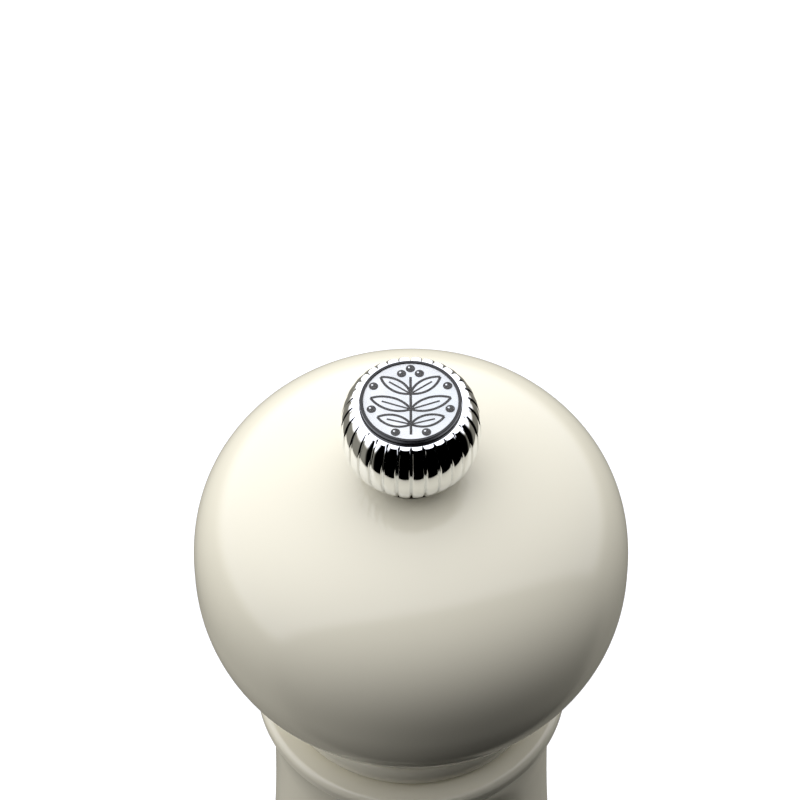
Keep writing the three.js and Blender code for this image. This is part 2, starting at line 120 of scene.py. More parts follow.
class Graph:
    """A thin builder for a node tree: adds nodes, links sockets and sets values."""

    def __init__(self, tree: bpy.types.NodeTree) -> None:
        """Wraps a node tree.

        Args:
            tree: The tree to build in.
        """
        self.tree = tree

    def add(self, kind: str, inputs: dict | None = None, **settings) -> bpy.types.Node:
        """Adds one node.

        Args:
            kind: The node's type name.
            inputs: Values or sockets for its inputs, by name or index.
            **settings: Attributes of the node, such as operation.

        Returns:
            The new node.
        """
        node = self.tree.nodes.new(kind)
        for name, value in settings.items():
            setattr(node, name, value)
        for key, value in (inputs or {}).items():
            self.feed(node.inputs[key], value)
        return node

    def feed(self, target: Socket, value) -> None:
        """Links a socket into an input, or sets the input's own value.

        Args:
            target: The input socket.
            value: A socket to link, or a plain value.
        """
        if isinstance(value, bpy.types.NodeSocket):
            self.tree.links.new(value, target)
        else:
            target.default_value = value

    def math(self, operation: str, *values, clamp: bool = False) -> Socket:
        """Adds a Math node.

        Args:
            operation: Its operation.
            *values: Its operands, as sockets or numbers.
            clamp: Whether the result is kept between 0 and 1.

        Returns:
            The result's socket.
        """
        node = self.add("ShaderNodeMath", dict(enumerate(values)), operation=operation)
        node.use_clamp = clamp
        return node.outputs[0]


# --------------------------------------------------------------------------- finishes


class Shader(Graph):
    """A Principled material under construction, with the textures that finishes share."""

    def __init__(self, name: str, values: dict) -> None:
        """Starts a material.

        Args:
            name: The material's name.
            values: Plain values for the Principled shader's inputs.
        """
        self.material = bpy.data.materials.new(name)
        self.material.use_nodes = True
        super().__init__(self.material.node_tree)
        self.surface = self.tree.nodes["Principled BSDF"]
        for key, value in values.items():
            self.feed(self.surface.inputs[key], value)
        self.coordinates = self.add("ShaderNodeTexCoord").outputs["Object"]

    def mapped(self, scale: Sequence[float]) -> Socket:
        """Object coordinates stretched along the axes.

        Args:
            scale: The stretch along X, Y and Z.

        Returns:
            The stretched coordinates.
        """
        return self.add("ShaderNodeMapping", {"Vector": self.coordinates, "Scale": scale}).outputs[0]

    def noise(self, scale: float, detail: float = 3, vector: Socket | None = None) -> Socket:
        """Fractal noise.

        Args:
            scale: Its scale, in cycles per metre of the coordinates.
            detail: Its number of octaves.
            vector: The coordinates it reads, or None for plain Object coordinates.

        Returns:
            The noise's factor.
        """
        inputs = {"Vector": vector or self.coordinates, "Scale": scale, "Detail": detail}
        return self.add("ShaderNodeTexNoise", inputs).outputs[0]

    def spread(self, factor: Socket, low: float, high: float, start: float = 0.3, end: float = 0.7) -> Socket:
        """Maps a factor between two values.

        Args:
            factor: The factor.
            low: The result at start.
            high: The result at end.
            start: The factor's lower bound.
            end: The factor's upper bound.

        Returns:
            The mapped value.
        """
        inputs = {"Value": factor, "From Min": start, "From Max": end, "To Min": low, "To Max": high}
        return self.add("ShaderNodeMapRange", inputs).outputs[0]

    def blend(self, factor: Socket, first: Sequence[float], second: Sequence[float]) -> Socket:
        """Mixes two colours by a factor.

        Args:
            factor: The mix, 0 for the first colour.
            first: A colour.
            second: Another colour.

        Returns:
            The mixed colour.
        """
        node = self.add("ShaderNodeMix", data_type="RGBA")
        self.feed(node.inputs[0], factor)
        self.feed(node.inputs[6], (*first, 1))
        self.feed(node.inputs[7], (*second, 1))
        return node.outputs[2]

    def bump(self, height: Socket, distance: float, onto: Socket | None = None) -> Socket:
        """Adds a bump and makes it the surface's normal.

        Args:
            height: The height factor.
            distance: What a height of 1 stands for, in metres.
            onto: The normal of an earlier bump.

        Returns:
            The bumped normal.
        """
        inputs = {"Height": height, "Distance": distance, "Strength": 1.0}
        if onto is not None:
            inputs["Normal"] = onto
        normal = self.add("ShaderNodeBump", inputs).outputs[0]
        self.feed(self.surface.inputs["Normal"], normal)
        return normal

    def set(self, name: str, value) -> None:
        """Feeds one input of the Principled shader."""
        self.feed(self.surface.inputs[name], value)


@dataclass(frozen=True)
class Finish:
    """A finish: a named, procedural material that is made once.

    Args:
        name: The material's name.
        color: Its main colour, linear.
        roughness: Its mean roughness.
    """

    name: str
    color: tuple[float, float, float]
    roughness: float

    def material(self) -> bpy.types.Material:
        """The finish's material, made at the first call."""
        return bpy.data.materials.get(self.name) or self.make()

    def make(self) -> bpy.types.Material:
        """Builds the material. Each finish has its own."""
        raise NotImplementedError


@dataclass(frozen=True)
class Lacquer(Finish):
    """Thick ivory gloss lacquer, with a trace of orange peel."""

    peel: float = 0.0000022
    tint: float = 0.985

    def make(self) -> bpy.types.Material:
        """Builds the lacquer: even colour, deep clear gloss, faint orange peel."""
        shader = Shader(self.name, {"IOR": 1.5})
        deeper = tuple(self.tint * part for part in self.color)
        shader.set("Base Color", shader.blend(shader.noise(35, 2), self.color, deeper))
        smear = shader.noise(120, 4)
        shader.set("Roughness", shader.spread(smear, 0.8 * self.roughness, 1.25 * self.roughness))
        waves = shader.bump(shader.noise(110, 1), 8 * self.peel)
        shader.bump(shader.noise(650, 2), self.peel, onto=waves)
        return shader.material


@dataclass(frozen=True)
class Beech(Finish):
    """Bare turned beech, as in the bores and on the tenon."""

    dark: tuple[float, float, float] = (0.47, 0.27, 0.13)

    def make(self) -> bpy.types.Material:
        """Builds the wood: growth rings, long grain, short dark flecks and tool marks."""
        shader = Shader(self.name, {"IOR": 1.45})
        along = shader.mapped((1, 1, 0.06))
        rings = shader.add(
            "ShaderNodeTexWave",
            {"Vector": along, "Scale": 130, "Distortion": 5, "Detail": 3, "Detail Scale": 1.5},
        ).outputs[1]
        grain = shader.noise(900, 4, along)
        flecks = shader.noise(2600, 2, shader.mapped((1, 1, 0.12)))
        mix = shader.math("ADD", shader.math("MULTIPLY", rings, 0.45), shader.math("MULTIPLY", grain, 0.55))
        base = shader.blend(shader.spread(mix, 0, 1, 0.25, 0.75), self.color, self.dark)
        fleck_mask = shader.spread(flecks, 0, 0.55, 0.62, 0.74)
        node = shader.add("ShaderNodeMix", data_type="RGBA")
        shader.feed(node.inputs[0], fleck_mask)
        shader.feed(node.inputs[6], base)
        shader.feed(node.inputs[7], (0.25, 0.13, 0.06, 1))
        shader.set("Base Color", node.outputs[2])
        shader.set("Roughness", shader.spread(grain, self.roughness, self.roughness + 0.15))
        marks = shader.bump(shader.noise(3200, 2, shader.mapped((0.2, 0.2, 1))), 0.00003)
        shader.bump(grain, 0.00004, onto=marks)
        return shader.material


@dataclass(frozen=True)
class Metal(Finish):
    """Bare or plated metal with mottling, fine scratches and smudged gloss.

    Args:
        scratch: Depth of the scratches, in metres.
        stretch: How the scratches are drawn out along X, Y and Z.
        mottle: How much the colour varies.
        cells: The mottling's scale.
    """

    scratch: float = 0.000004
    stretch: tuple[float, float, float] = (1, 1, 0.08)
    mottle: float = 0.12
    cells: float = 500

    def make(self) -> bpy.types.Material:
        """Builds the metal."""
        shader = Shader(self.name, {"Metallic": 1.0})
        dull = tuple(part * (1 - self.mottle) for part in self.color)
        mottling = shader.spread(shader.noise(self.cells), 0, 1)
        shader.set("Base Color", shader.blend(mottling, self.color, dull))
        smudge = shader.noise(0.5 * self.cells, 4)
        shader.set("Roughness", shader.spread(smudge, 0.75 * self.roughness, 1.35 * self.roughness))
        shader.bump(shader.noise(6000, 2, shader.mapped(self.stretch)), self.scratch)
        return shader.material


@dataclass(frozen=True)
class Plastic(Finish):
    """Ink, moulded plastic or printed enamel: an opaque coat with a fine grain.

    Args:
        second: The colour it drifts towards.
        drift: The scale of that drift.
        grain: Depth of the grain, in metres.
        metallic: How much of it is foil.
    """

    second: tuple[float, float, float] = (0.02, 0.02, 0.022)
    drift: float = 150
    grain: float = 0.000002
    metallic: float = 0.0

    def make(self) -> bpy.types.Material:
        """Builds the coat."""
        shader = Shader(self.name, {"IOR": 1.5, "Metallic": self.metallic})
        drift = shader.spread(shader.noise(self.drift, 2), 0, 1, 0.35, 0.65)
        shader.set("Base Color", shader.blend(drift, self.color, self.second))
        shader.set("Roughness", shader.spread(shader.noise(900), 0.8 * self.roughness, 1.3 * self.roughness))
        shader.bump(shader.noise(5000, 2), self.grain)
        return shader.material


@dataclass(frozen=True)
class Resin(Finish):
    """Poured clear resin."""

    def make(self) -> bpy.types.Material:
        """Builds the resin as a thin clear film: glossy, nearly see-through, with the faintest ripple."""
        shader = Shader(self.name, {"Base Color": (*self.color, 1), "IOR": 1.5})
        shader.set("Alpha", shader.spread(shader.noise(300, 2), 0.05, 0.08))
        shader.set("Roughness", shader.spread(shader.noise(300), 0.5 * self.roughness, 2 * self.roughness))
        shader.bump(shader.noise(180, 1), 0.000003)
        return shader.material


LACQUER = Lacquer("ivory_lacquer", (0.775, 0.735, 0.585), 0.09)
BEECH = Beech("bare_beech", (0.72, 0.5, 0.29), 0.55)
CHROME = Metal("mirror_chrome", (0.93, 0.94, 0.95), 0.045, 0.0000006, (1, 1, 0.3), 0.03, 300)
PLATED = Metal("zinc_plate", (0.62, 0.63, 0.64), 0.28)
BURR_STEEL = Metal("hardened_steel", (0.2, 0.2, 0.21), 0.38, 0.00001, (1, 1, 1), 0.3, 900)
SPRING_STEEL = Metal("spring_wire", (0.42, 0.43, 0.45), 0.25, 0.000003, (1, 1, 1), 0.15, 700)
BRASS = Metal("turned_brass", (0.74, 0.53, 0.23), 0.24, 0.000006, (0.15, 0.15, 1), 0.15, 400)
# Brass darkened nearly to black: painted shade, so the bush and washer pass for the shadow under the knob.
SHADE_DARKENED_BRASS = Metal("shade_darkened_brass", (0.13, 0.1, 0.06), 0.5, 0.000006, (0.15, 0.15, 1), 0.3, 400)
TRIM = Plastic("gloss_black", (0.004, 0.004, 0.005), 0.22, (0.007, 0.007, 0.008))
INK = Plastic("printed_ink", (0.026, 0.024, 0.022), 0.45, (0.033, 0.031, 0.028), 400)
ENAMEL = Plastic("disc_foil", (0.96, 0.97, 0.965), 0.3, (0.87, 0.91, 0.92), 110)
RESIN = Resin("poured_resin", (0.12, 0.12, 0.12), 0.03)


# --------------------------------------------------------------------------- the lathe


class Cut(Enum):
    """What the lathe does to a stretch of profile, as (ribs or thread, flats, bare)."""

    PLAIN = (0.0, 0.0, 0.0)
    RIBBED = (1.0, 0.0, 0.0)
    MILLED = (0.0, 1.0, 0.0)
    BROACHED = (0.0, -1.0, 0.0)
    BARE = (0.0, 0.0, 1.0)


@dataclass
class Profile:
    """An outline of (radius, height) points in millimetres that runs up the outside of a piece."""

    points: list[Point] = field(default_factory=list)
    cuts: list[tuple[float, float, float]] = field(default_factory=list)

    def add(self, points: Iterable[Point], cut: Cut = Cut.PLAIN, mask: float = 1.0) -> "Profile":
        """Appends points that share one cut.

        Args:
            points: The points.
            cut: What is cut there.
            mask: How much of the ribs' or thread's full depth is cut.

        Returns:
            The profile itself.
        """
        for point in points:
            self.points.append(point)
            self.cuts.append((cut.value[0] * mask, cut.value[1], cut.value[2]))
        return self

    def closed(self) -> "Profile":
        """Closes a ring's outline on its first point, and returns the profile."""
        self.points.append(self.points[0])
        self.cuts.append(self.cuts[0])
        return self


@dataclass(frozen=True)
class Tooling:
    """How the lathe cuts a piece.

    Args:
        sides: Facets round the axis.
        count: Ribs or teeth round the axis, or 1 for a thread.
        turns: Rib turns per millimetre of height; the inverse of a thread's pitch.
        depth: Depth of the cut, in millimetres.
        share: Share of a rib's width that the groove takes; 1 for a thread.
        skew: Where in its width the groove is deepest.
        crown: How far the middle of a rib stands above its edges, in millimetres.
        flats: Number of flats.
        across: Distance across the flats, in millimetres.
        angle: Edges sharper than this, in degrees, stay sharp.
    """

    sides: int = 96
    count: int = 1
    turns: float = 0.0
    depth: float = 0.0
    share: float = 1.0
    skew: float = 0.5
    crown: float = 0.0
    flats: int = 4
    across: float = 1.0
    angle: float = 32.0


def add_object(name: str, mesh: bpy.types.Mesh) -> bpy.types.Object:
    """Puts a mesh in the scene as an object at the origin.

    Args:
        name: The object's name.
        mesh: The mesh.

    Returns:
        The object.
    """
    piece = bpy.data.objects.new(name, mesh)
    bpy.context.scene.collection.objects.link(piece)
    return piece


class Recipe:
    """A Geometry Nodes tree with named inputs, run on a blank to make a plain mesh."""

    NAME = ""
    INPUTS: dict[str, str] = {}

    def __init__(self) -> None:
        """Lays out the tree's sockets and fills it in."""
        self.tree = bpy.data.node_groups.new(self.NAME, "GeometryNodeTree")
        face = self.tree.interface
        face.new_socket(name="Blank", in_out="INPUT", socket_type="NodeSocketGeometry")
        face.new_socket(name="Shape", in_out="OUTPUT", socket_type="NodeSocketGeometry")
        self.sockets = {
            name: face.new_socket(name=name, in_out="INPUT", socket_type="NodeSocket" + kind).identifier
            for name, kind in self.INPUTS.items()
        }
        graph = Graph(self.tree)
        source = graph.add("NodeGroupInput").outputs
        real = graph.add("GeometryNodeRealizeInstances", {0: self.shape(graph, source)})
        dressed = graph.add("GeometryNodeSetMaterial", {0: real.outputs[0], "Material": source["Finish"]})
        graph.add("NodeGroupOutput", {0: self.finish(graph, source, dressed.outputs[0])})

    def shape(self, graph: Graph, source) -> Socket:
        """Builds the tree's nodes. Each recipe has its own.

        Args:
            graph: The tree's builder.
            source: The tree's input sockets.

        Returns:
            The shape, before its finish.
        """
        raise NotImplementedError

    def finish(self, graph: Graph, source, dressed: Socket) -> Socket:
        """Adds what comes after the main finish, if anything."""
        return dressed

    def run(self, name: str, blank: bpy.types.Mesh, values: dict) -> bpy.types.Object:
        """Runs the tree on a mesh and keeps the result as a plain mesh.

        Args:
            name: The new object's name.
            blank: The mesh the tree starts from.
            values: Its inputs, by name.

        Returns:
            An object with the resulting mesh and no modifier.
        """
        base = add_object(name + "_blank", blank)
        modifier = base.modifiers.new("shape", "NODES")
        modifier.node_group = self.tree
        for key, value in values.items():
            modifier[self.sockets[key]] = value
        graph = bpy.context.evaluated_depsgraph_get()
        result = bpy.data.meshes.new_from_object(base.evaluated_get(graph), depsgraph=graph)
        bpy.data.objects.remove(base)
        compact_slots(result)
        result.name = name
        return add_object(name, result)


class Lathe(Recipe):
    """Spins a profile about the axis and cuts flats, ribs, teeth or threads in it."""

    NAME = "lathe"
    MERGE_DISTANCE = 0.0000005
    INPUTS = {
        "Sides": "Int",
        "Count": "Int",
        "Turns": "Float",
        "Depth": "Float",
        "Share": "Float",
        "Skew": "Float",
        "Crown": "Float",
        "Flats": "Int",
        "Across": "Float",
        "Finish": "Material",
        "Bare Finish": "Material",
    }

    def shape(self, graph: Graph, source) -> Socket:
        """Lays a grid of profile points by sides and wraps it round the axis.

        Args:
            graph: The tree's builder.
            source: The tree's input sockets.

        Returns:
            The turned shape.
        """
        index = graph.add("GeometryNodeInputIndex").outputs[0]
        size = graph.add("GeometryNodeAttributeDomainSize", {0: source["Blank"]}).outputs["Point Count"]
        place = graph.math("MODULO", index, size)
        side = graph.math("FLOOR", graph.math("DIVIDE", index, size))
        share_of_turn = graph.math("DIVIDE", side, source["Sides"])
        angle = graph.math("MULTIPLY", share_of_turn, FULL_TURN)
        point = self._sampled(graph, source["Blank"], place, "FLOAT_VECTOR", None)
        split = graph.add("ShaderNodeSeparateXYZ", {0: point}).outputs
        cut, flat, bare = (
            self._sampled(graph, source["Blank"], place, "FLOAT", name) for name in ("cut", "flat", "bare")
        )
        radius = self._milled(graph, source, split[0], angle, flat)
        radius = self._ribbed(graph, source, radius, share_of_turn, split[2], cut)
        x = graph.math("MULTIPLY", radius, graph.math("COSINE", angle))
        y = graph.math("MULTIPLY", radius, graph.math("SINE", angle))
        position = graph.add("ShaderNodeCombineXYZ", {0: x, 1: y, 2: split[2]}).outputs[0]
        columns = graph.math("ADD", source["Sides"], 1)
        grid = graph.add("GeometryNodeMeshGrid", {"Vertices X": columns, "Vertices Y": size}).outputs["Mesh"]
        marked = graph.add("GeometryNodeStoreNamedAttribute", {0: grid, "Name": "bare", "Value": bare})
        placed = graph.add("GeometryNodeSetPosition", {0: marked.outputs[0], "Position": position})
        merge = {0: placed.outputs[0], "Distance": self.MERGE_DISTANCE}
        return graph.add("GeometryNodeMergeByDistance", merge).outputs[0]

    def finish(self, graph: Graph, source, dressed: Socket) -> Socket:
        """Gives the bare stretches their own finish.

        Args:
            graph: The tree's builder.
            source: The tree's input sockets.
            dressed: The shape with its main finish.

        Returns:
            The shape with both finishes.
        """
        stored = graph.add("GeometryNodeInputNamedAttribute", {"Name": "bare"}).outputs["Attribute"]
        inner = graph.math("GREATER_THAN", stored, 0.9)
        inputs = {0: dressed, "Selection": inner, "Material": source["Bare Finish"]}
        return graph.add("GeometryNodeSetMaterial", inputs).outputs[0]

    @staticmethod
    def _sampled(graph: Graph, profile: Socket, place: Socket, kind: str, name: str | None) -> Socket:
        """Reads the position, or a named value, of the profile point that a vertex stands on.

        Args:
            graph: The tree's builder.
            profile: The profile.
            place: The point's index.
            kind: The value's data type.
            name: The value's name, or None for the position.

        Returns:
            The value.
        """
        if name is None:
            value = graph.add("GeometryNodeInputPosition").outputs[0]
        else:
            value = graph.add("GeometryNodeInputNamedAttribute", {"Name": name}).outputs["Attribute"]
        node = graph.add("GeometryNodeSampleIndex", data_type=kind, domain="POINT")
        graph.feed(node.inputs["Geometry"], profile)
        graph.feed(node.inputs["Value"], value)
        graph.feed(node.inputs["Index"], place)
        return node.outputs[0]

    @staticmethod
    def _milled(graph: Graph, source, radius: Socket, angle: Socket, flat: Socket) -> Socket:
        """Cuts the flats: inwards where flat is 1, and as a broached hole where it is -1.

        Args:
            graph: The tree's builder.
            source: The tree's input sockets.
            radius: The radius before the cut.
            angle: The angle round the axis.
            flat: 1, 0 or -1.

        Returns:
            The radius after it.
        """
        step = graph.math("DIVIDE", FULL_TURN, source["Flats"])
        half = graph.math("MULTIPLY", step, 0.5)
        wrapped = graph.math("SUBTRACT", graph.math("MODULO", graph.math("ADD", angle, half), step), half)
        apothem = graph.math("MULTIPLY", source["Across"], 0.5)
        face = graph.math("DIVIDE", apothem, graph.math("COSINE", wrapped))
        inwards = graph.math("SUBTRACT", graph.math("MINIMUM", radius, face), radius)
        outwards = graph.math("SUBTRACT", graph.math("MAXIMUM", radius, face), radius)
        milled = graph.math("MULTIPLY", inwards, graph.math("MAXIMUM", flat, 0))
        hole = graph.math("MAXIMUM", graph.math("MULTIPLY", flat, -1), 0)
        broached = graph.math("MULTIPLY", outwards, hole)
        return graph.math("ADD", radius, graph.math("ADD", milled, broached))

    @staticmethod
    def _ribbed(graph: Graph, source, radius: Socket, turn: Socket, height: Socket, cut: Socket) -> Socket:
        """Cuts the ribs, teeth or thread to the depth that the profile's mask gives.

        Args:
            graph: The tree's builder.
            source: The tree's input sockets.
            radius: The radius before the cut.
            turn: The share of a turn round the axis.
            height: The height.
            cut: The mask.

        Returns:
            The radius after it.
        """
        around = graph.math("MULTIPLY", source["Count"], turn)
        along = graph.math("MULTIPLY", height, source["Turns"])
        phase = graph.math("FRACT", graph.math("ADD", around, along))
        rise = graph.math("DIVIDE", phase, source["Skew"])
        fall = graph.math(
            "DIVIDE", graph.math("SUBTRACT", 1, phase), graph.math("SUBTRACT", 1, source["Skew"])
        )
        wedge = graph.math("MINIMUM", rise, fall)
        edge = graph.math("SUBTRACT", wedge, graph.math("SUBTRACT", 1, source["Share"]))
        groove = graph.math("DIVIDE", edge, source["Share"], clamp=True)
        deep = graph.math("MULTIPLY", groove, source["Depth"])
        crown = graph.math("MULTIPLY", graph.math("MULTIPLY", wedge, wedge), source["Crown"])
        removed = graph.math("MULTIPLY", graph.math("ADD", deep, crown), cut)
        return graph.math("SUBTRACT", radius, removed)

    def turn(
        self,
        name: str,
        profile: Profile,
        finish: Finish,
        tooling: Tooling = Tooling(),
        bare: Finish | None = None,
    ) -> bpy.types.Object:
        """Turns one piece.

        Args:
            name: The piece's name.
            profile: Its outline.
            finish: Its finish.
            tooling: How it is cut.
            bare: The finish of its bare stretches, if it has any.

        Returns:
            The finished object, a plain mesh in place.
        """
        blank = bpy.data.meshes.new(name + "_profile")
        blank.from_pydata([(r * MM, 0, z * MM) for r, z in profile.points], [], [])
        for column, key in enumerate(("cut", "flat", "bare")):
            attribute = blank.attributes.new(key, "FLOAT", "POINT")
            attribute.data.foreach_set("value", [row[column] for row in profile.cuts])
        values = {
            "Sides": tooling.sides,
            "Count": tooling.count,
            "Turns": tooling.turns / MM,
            "Depth": tooling.depth * MM,
            "Share": tooling.share,
            "Skew": tooling.skew,
            "Crown": tooling.crown * MM,
            "Flats": tooling.flats,
            "Across": tooling.across * MM,
            "Finish": finish.material(),
            "Bare Finish": (bare or finish).material(),
        }
        piece = self.run(name, blank, values)
        tidy_shading(piece, tooling.angle)
        return piece


def compact_slots(mesh: bpy.types.Mesh) -> None:
    """Drops a mesh's empty material slots and keeps every face on its material.

    Args:
        mesh: The mesh.
    """
    kept = [material for material in mesh.materials if material]
    places = [kept.index(material) if material else 0 for material in mesh.materials]
    for face in mesh.polygons:
        face.material_index = places[face.material_index] if places else 0
    indices = [face.material_index for face in mesh.polygons]
    mesh.materials.clear()
    for material in kept:
        mesh.materials.append(material)
    mesh.polygons.foreach_set("material_index", indices)


def tidy_shading(piece: bpy.types.Object, angle: float) -> None:
    """Shades a piece smooth, apart from the edges sharper than an angle in degrees."""
    mesh = piece.data
    mesh.shade_smooth()
    mesh.set_sharp_from_angle(angle=math.radians(angle))


def mount(piece: bpy.types.Object, body: Body, slot: Slot, *nodes: str) -> bpy.types.Object:
    """Makes a piece ride on a body, in place of CAD nodes, and logs it.

    Args:
        piece: The piece.
        body: The body it rides on.
        slot: The record slot; not used.
        *nodes: The CAD nodes it stands for.

    Returns:
        The piece.
    """
    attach(piece, body.value)
    if nodes:
        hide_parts(*nodes)
    LOG.info("%s: %d faces, rides on %s", piece.name, len(piece.data.polygons), body.value)
    return piece


# --------------------------------------------------------------------------- outline helpers


def arc(center: Point, radii: Point, start: float, end: float, steps: int) -> list[Point]:
    """Points of an elliptical arc.

    Args:
        center: Its centre.
        radii: Its half-axes along radius and height.
        start: The first point's angle in degrees, from the outward direction.
        end: The last point's angle in degrees.
        steps: The number of steps.

    Returns:
        The points, both ends included.
    """
    angles = [math.radians(start + (end - start) * i / steps) for i in range(steps + 1)]
    return [(center[0] + radii[0] * math.cos(a), center[1] + radii[1] * math.sin(a)) for a in angles]


def bezier(p0: Point, p1: Point, p2: Point, p3: Point, steps: int) -> list[Point]:
    """Points of a cubic Bezier curve, both ends included.

    Args:
        p0: The start.
        p1: The first handle.
        p2: The second handle.
        p3: The end.
        steps: The number of steps.

    Returns:
        The points.
    """

    def at(t: float, axis: int) -> float:
        """One coordinate of the curve at t."""
        s = 1 - t
        return s**3 * p0[axis] + 3 * s * s * t * p1[axis] + 3 * s * t * t * p2[axis] + t**3 * p3[axis]

    return [(at(i / steps, 0), at(i / steps, 1)) for i in range(steps + 1)]


def line(start: Point, end: Point, steps: int) -> list[Point]:
    """Points of a straight line, both ends included."""
    return [
        (start[0] + (end[0] - start[0]) * i / steps, start[1] + (end[1] - start[1]) * i / steps)
        for i in range(steps + 1)
    ]


def bead(radius: float, bottom: float, height: float, out: float, steps: int = 12) -> list[Point]:
    """Points of an upright half-round bead that stands out from a radius."""
    return arc((radius, bottom + height / 2), (out, height / 2), -90, 90, steps)


def ring_profile(inner: float, outer: float, bottom: float, top: float, chamfer: float = 0.15) -> Profile:
    """The outline of a flat ring with small chamfers.

    Args:
        inner: The hole's radius.
        outer: The rim's radius.
        bottom: The lower face's height.
        top: The upper face's height.
        chamfer: The chamfers' size.

    Returns:
        The closed outline.
    """
    c = chamfer
    corners = [
        (inner, bottom + c),
        (inner + c, bottom),
        (outer - c, bottom),
        (outer, bottom + c),
        (outer, top - c),
        (outer - c, top),
        (inner + c, top),
        (inner, top - c),
    ]
    return Profile().add(corners).closed()


def square_holed(low: Vector, high: Vector, chamfer: float) -> Profile:
    """The outline of a round disc that a square hole is broached in.

    Args:
        low: The disc's lowest corner.
        high: Its highest corner.
        chamfer: The lower rim's chamfer; the upper one's is 0.2.

    Returns:
        The closed outline.
    """
    profile = Profile().add([(SQUARE_HOLE_BLANK, low.z)], Cut.BROACHED)
    profile.add([(high.x - chamfer, low.z), (high.x, low.z + chamfer)])
    profile.add([(high.x, high.z - 0.2), (high.x - 0.2, high.z)])
    return profile.add([(SQUARE_HOLE_BLANK, high.z)], Cut.BROACHED).closed()


def mm_box(node: str) -> tuple[Vector, Vector]:
    """A CAD node's lowest and highest corner, in millimetres."""
    low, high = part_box(node)
    return low / MM, high / MM


# --------------------------------------------------------------------------- body and head


@dataclass
class MillBody:
    """The lacquered body: foot beads, bell, waist and the cup that carries the head."""

    lathe: Lathe
    foot_face_radius: float = 26.2
    foot_bead_out: float = 2.3
    foot_bead_height: float = 6.6
    groove_radius: float = 26.0
    groove_height: float = 0.8
    upper_bead_out: float = 1.4
    upper_bead_height: float = 4.0
    bell_radius: float = 26.6
    bell_z: float = 16.0
    waist_radius: float = 18.3
    waist_below_top: float = 12.3
    cup_radius: float = 20.3
    cup_edge_below_top: float = 2.1
    recess_radius: float = 19.5
    burr_bore_radius: float = 15.0
    chamber_radius: float = 13.5
    sides: int = 224

    def outline(self) -> Profile:
        """The body's closed outline: lacquered outside, bare in the bores."""
        top = mm_box("body_shell")[1].z
        shoulder = mm_box("female_burr")[0].z
        chamber_floor = mm_box("bridge")[0].z + 2.3
        upper_bead_z = self.foot_bead_height + self.groove_height
        bell_foot = upper_bead_z + self.upper_bead_height
        waist_z = top - self.waist_below_top
        cup_z = top - self.cup_edge_below_top
        profile = Profile()
        profile.add([(self.recess_radius + 0.5, 0), (self.foot_face_radius - 0.6, 0)])
        profile.add(bead(self.foot_face_radius, 0, self.foot_bead_height, self.foot_bead_out, 20)[1:])
        profile.add(arc((self.groove_radius + 0.1, self.foot_bead_height + 0.4), (0.4, 0.4), 250, 110, 6))
        profile.add(bead(self.groove_radius, upper_bead_z, self.upper_bead_height, self.upper_bead_out, 16))
        profile.add(arc((self.groove_radius + 0.1, bell_foot + 0.5), (0.7, 0.5), 250, 120, 6))
        bell = ((self.bell_radius, self.bell_z), (24, 42), (18.6, waist_z - 38), (self.waist_radius, waist_z))
        spring_line = (self.groove_radius - 0.3, bell_foot + 1.1)
        profile.add(bezier(spring_line, (26.3, 13.4), (26.6, 14.6), bell[0], 6))
        profile.add(bezier(*bell, 40)[1:])
        cup_bottom = (self.cup_radius, cup_z)
        hollow = (self.waist_radius - 0.05, waist_z + 4), (self.waist_radius + 0.7, cup_z - 1.6)
        profile.add(bezier(bell[3], *hollow, cup_bottom, 18)[1:])
        edge = top - cup_z
        profile.add(arc((self.cup_radius - 0.9, cup_z + edge * 0.45), (0.9, edge * 0.55), 0, 90, 10))
        profile.add([(self.cup_radius - 2.4, top), (self.chamber_radius + 1.2, top)])
        bare = [(self.chamber_radius + 0.5, top - 0.15), (self.chamber_radius, top - 0.8)]
        bare += line((self.chamber_radius, top - 1.2), (self.chamber_radius, chamber_floor), 30)
        bare += [(self.burr_bore_radius, chamber_floor), (self.burr_bore_radius, shoulder)]
        bare += [(self.recess_radius, shoulder), (self.recess_radius, 0.5)]
        return profile.add(bare, Cut.BARE).closed()

    def build(self) -> None:
        """Turns the body and puts it in place of its CAD node."""
        shell = self.lathe.turn("body_turning", self.outline(), LACQUER, Tooling(sides=self.sides), BEECH)
        mount(shell, Body.MILL, Slot.WOOD, "body_shell")


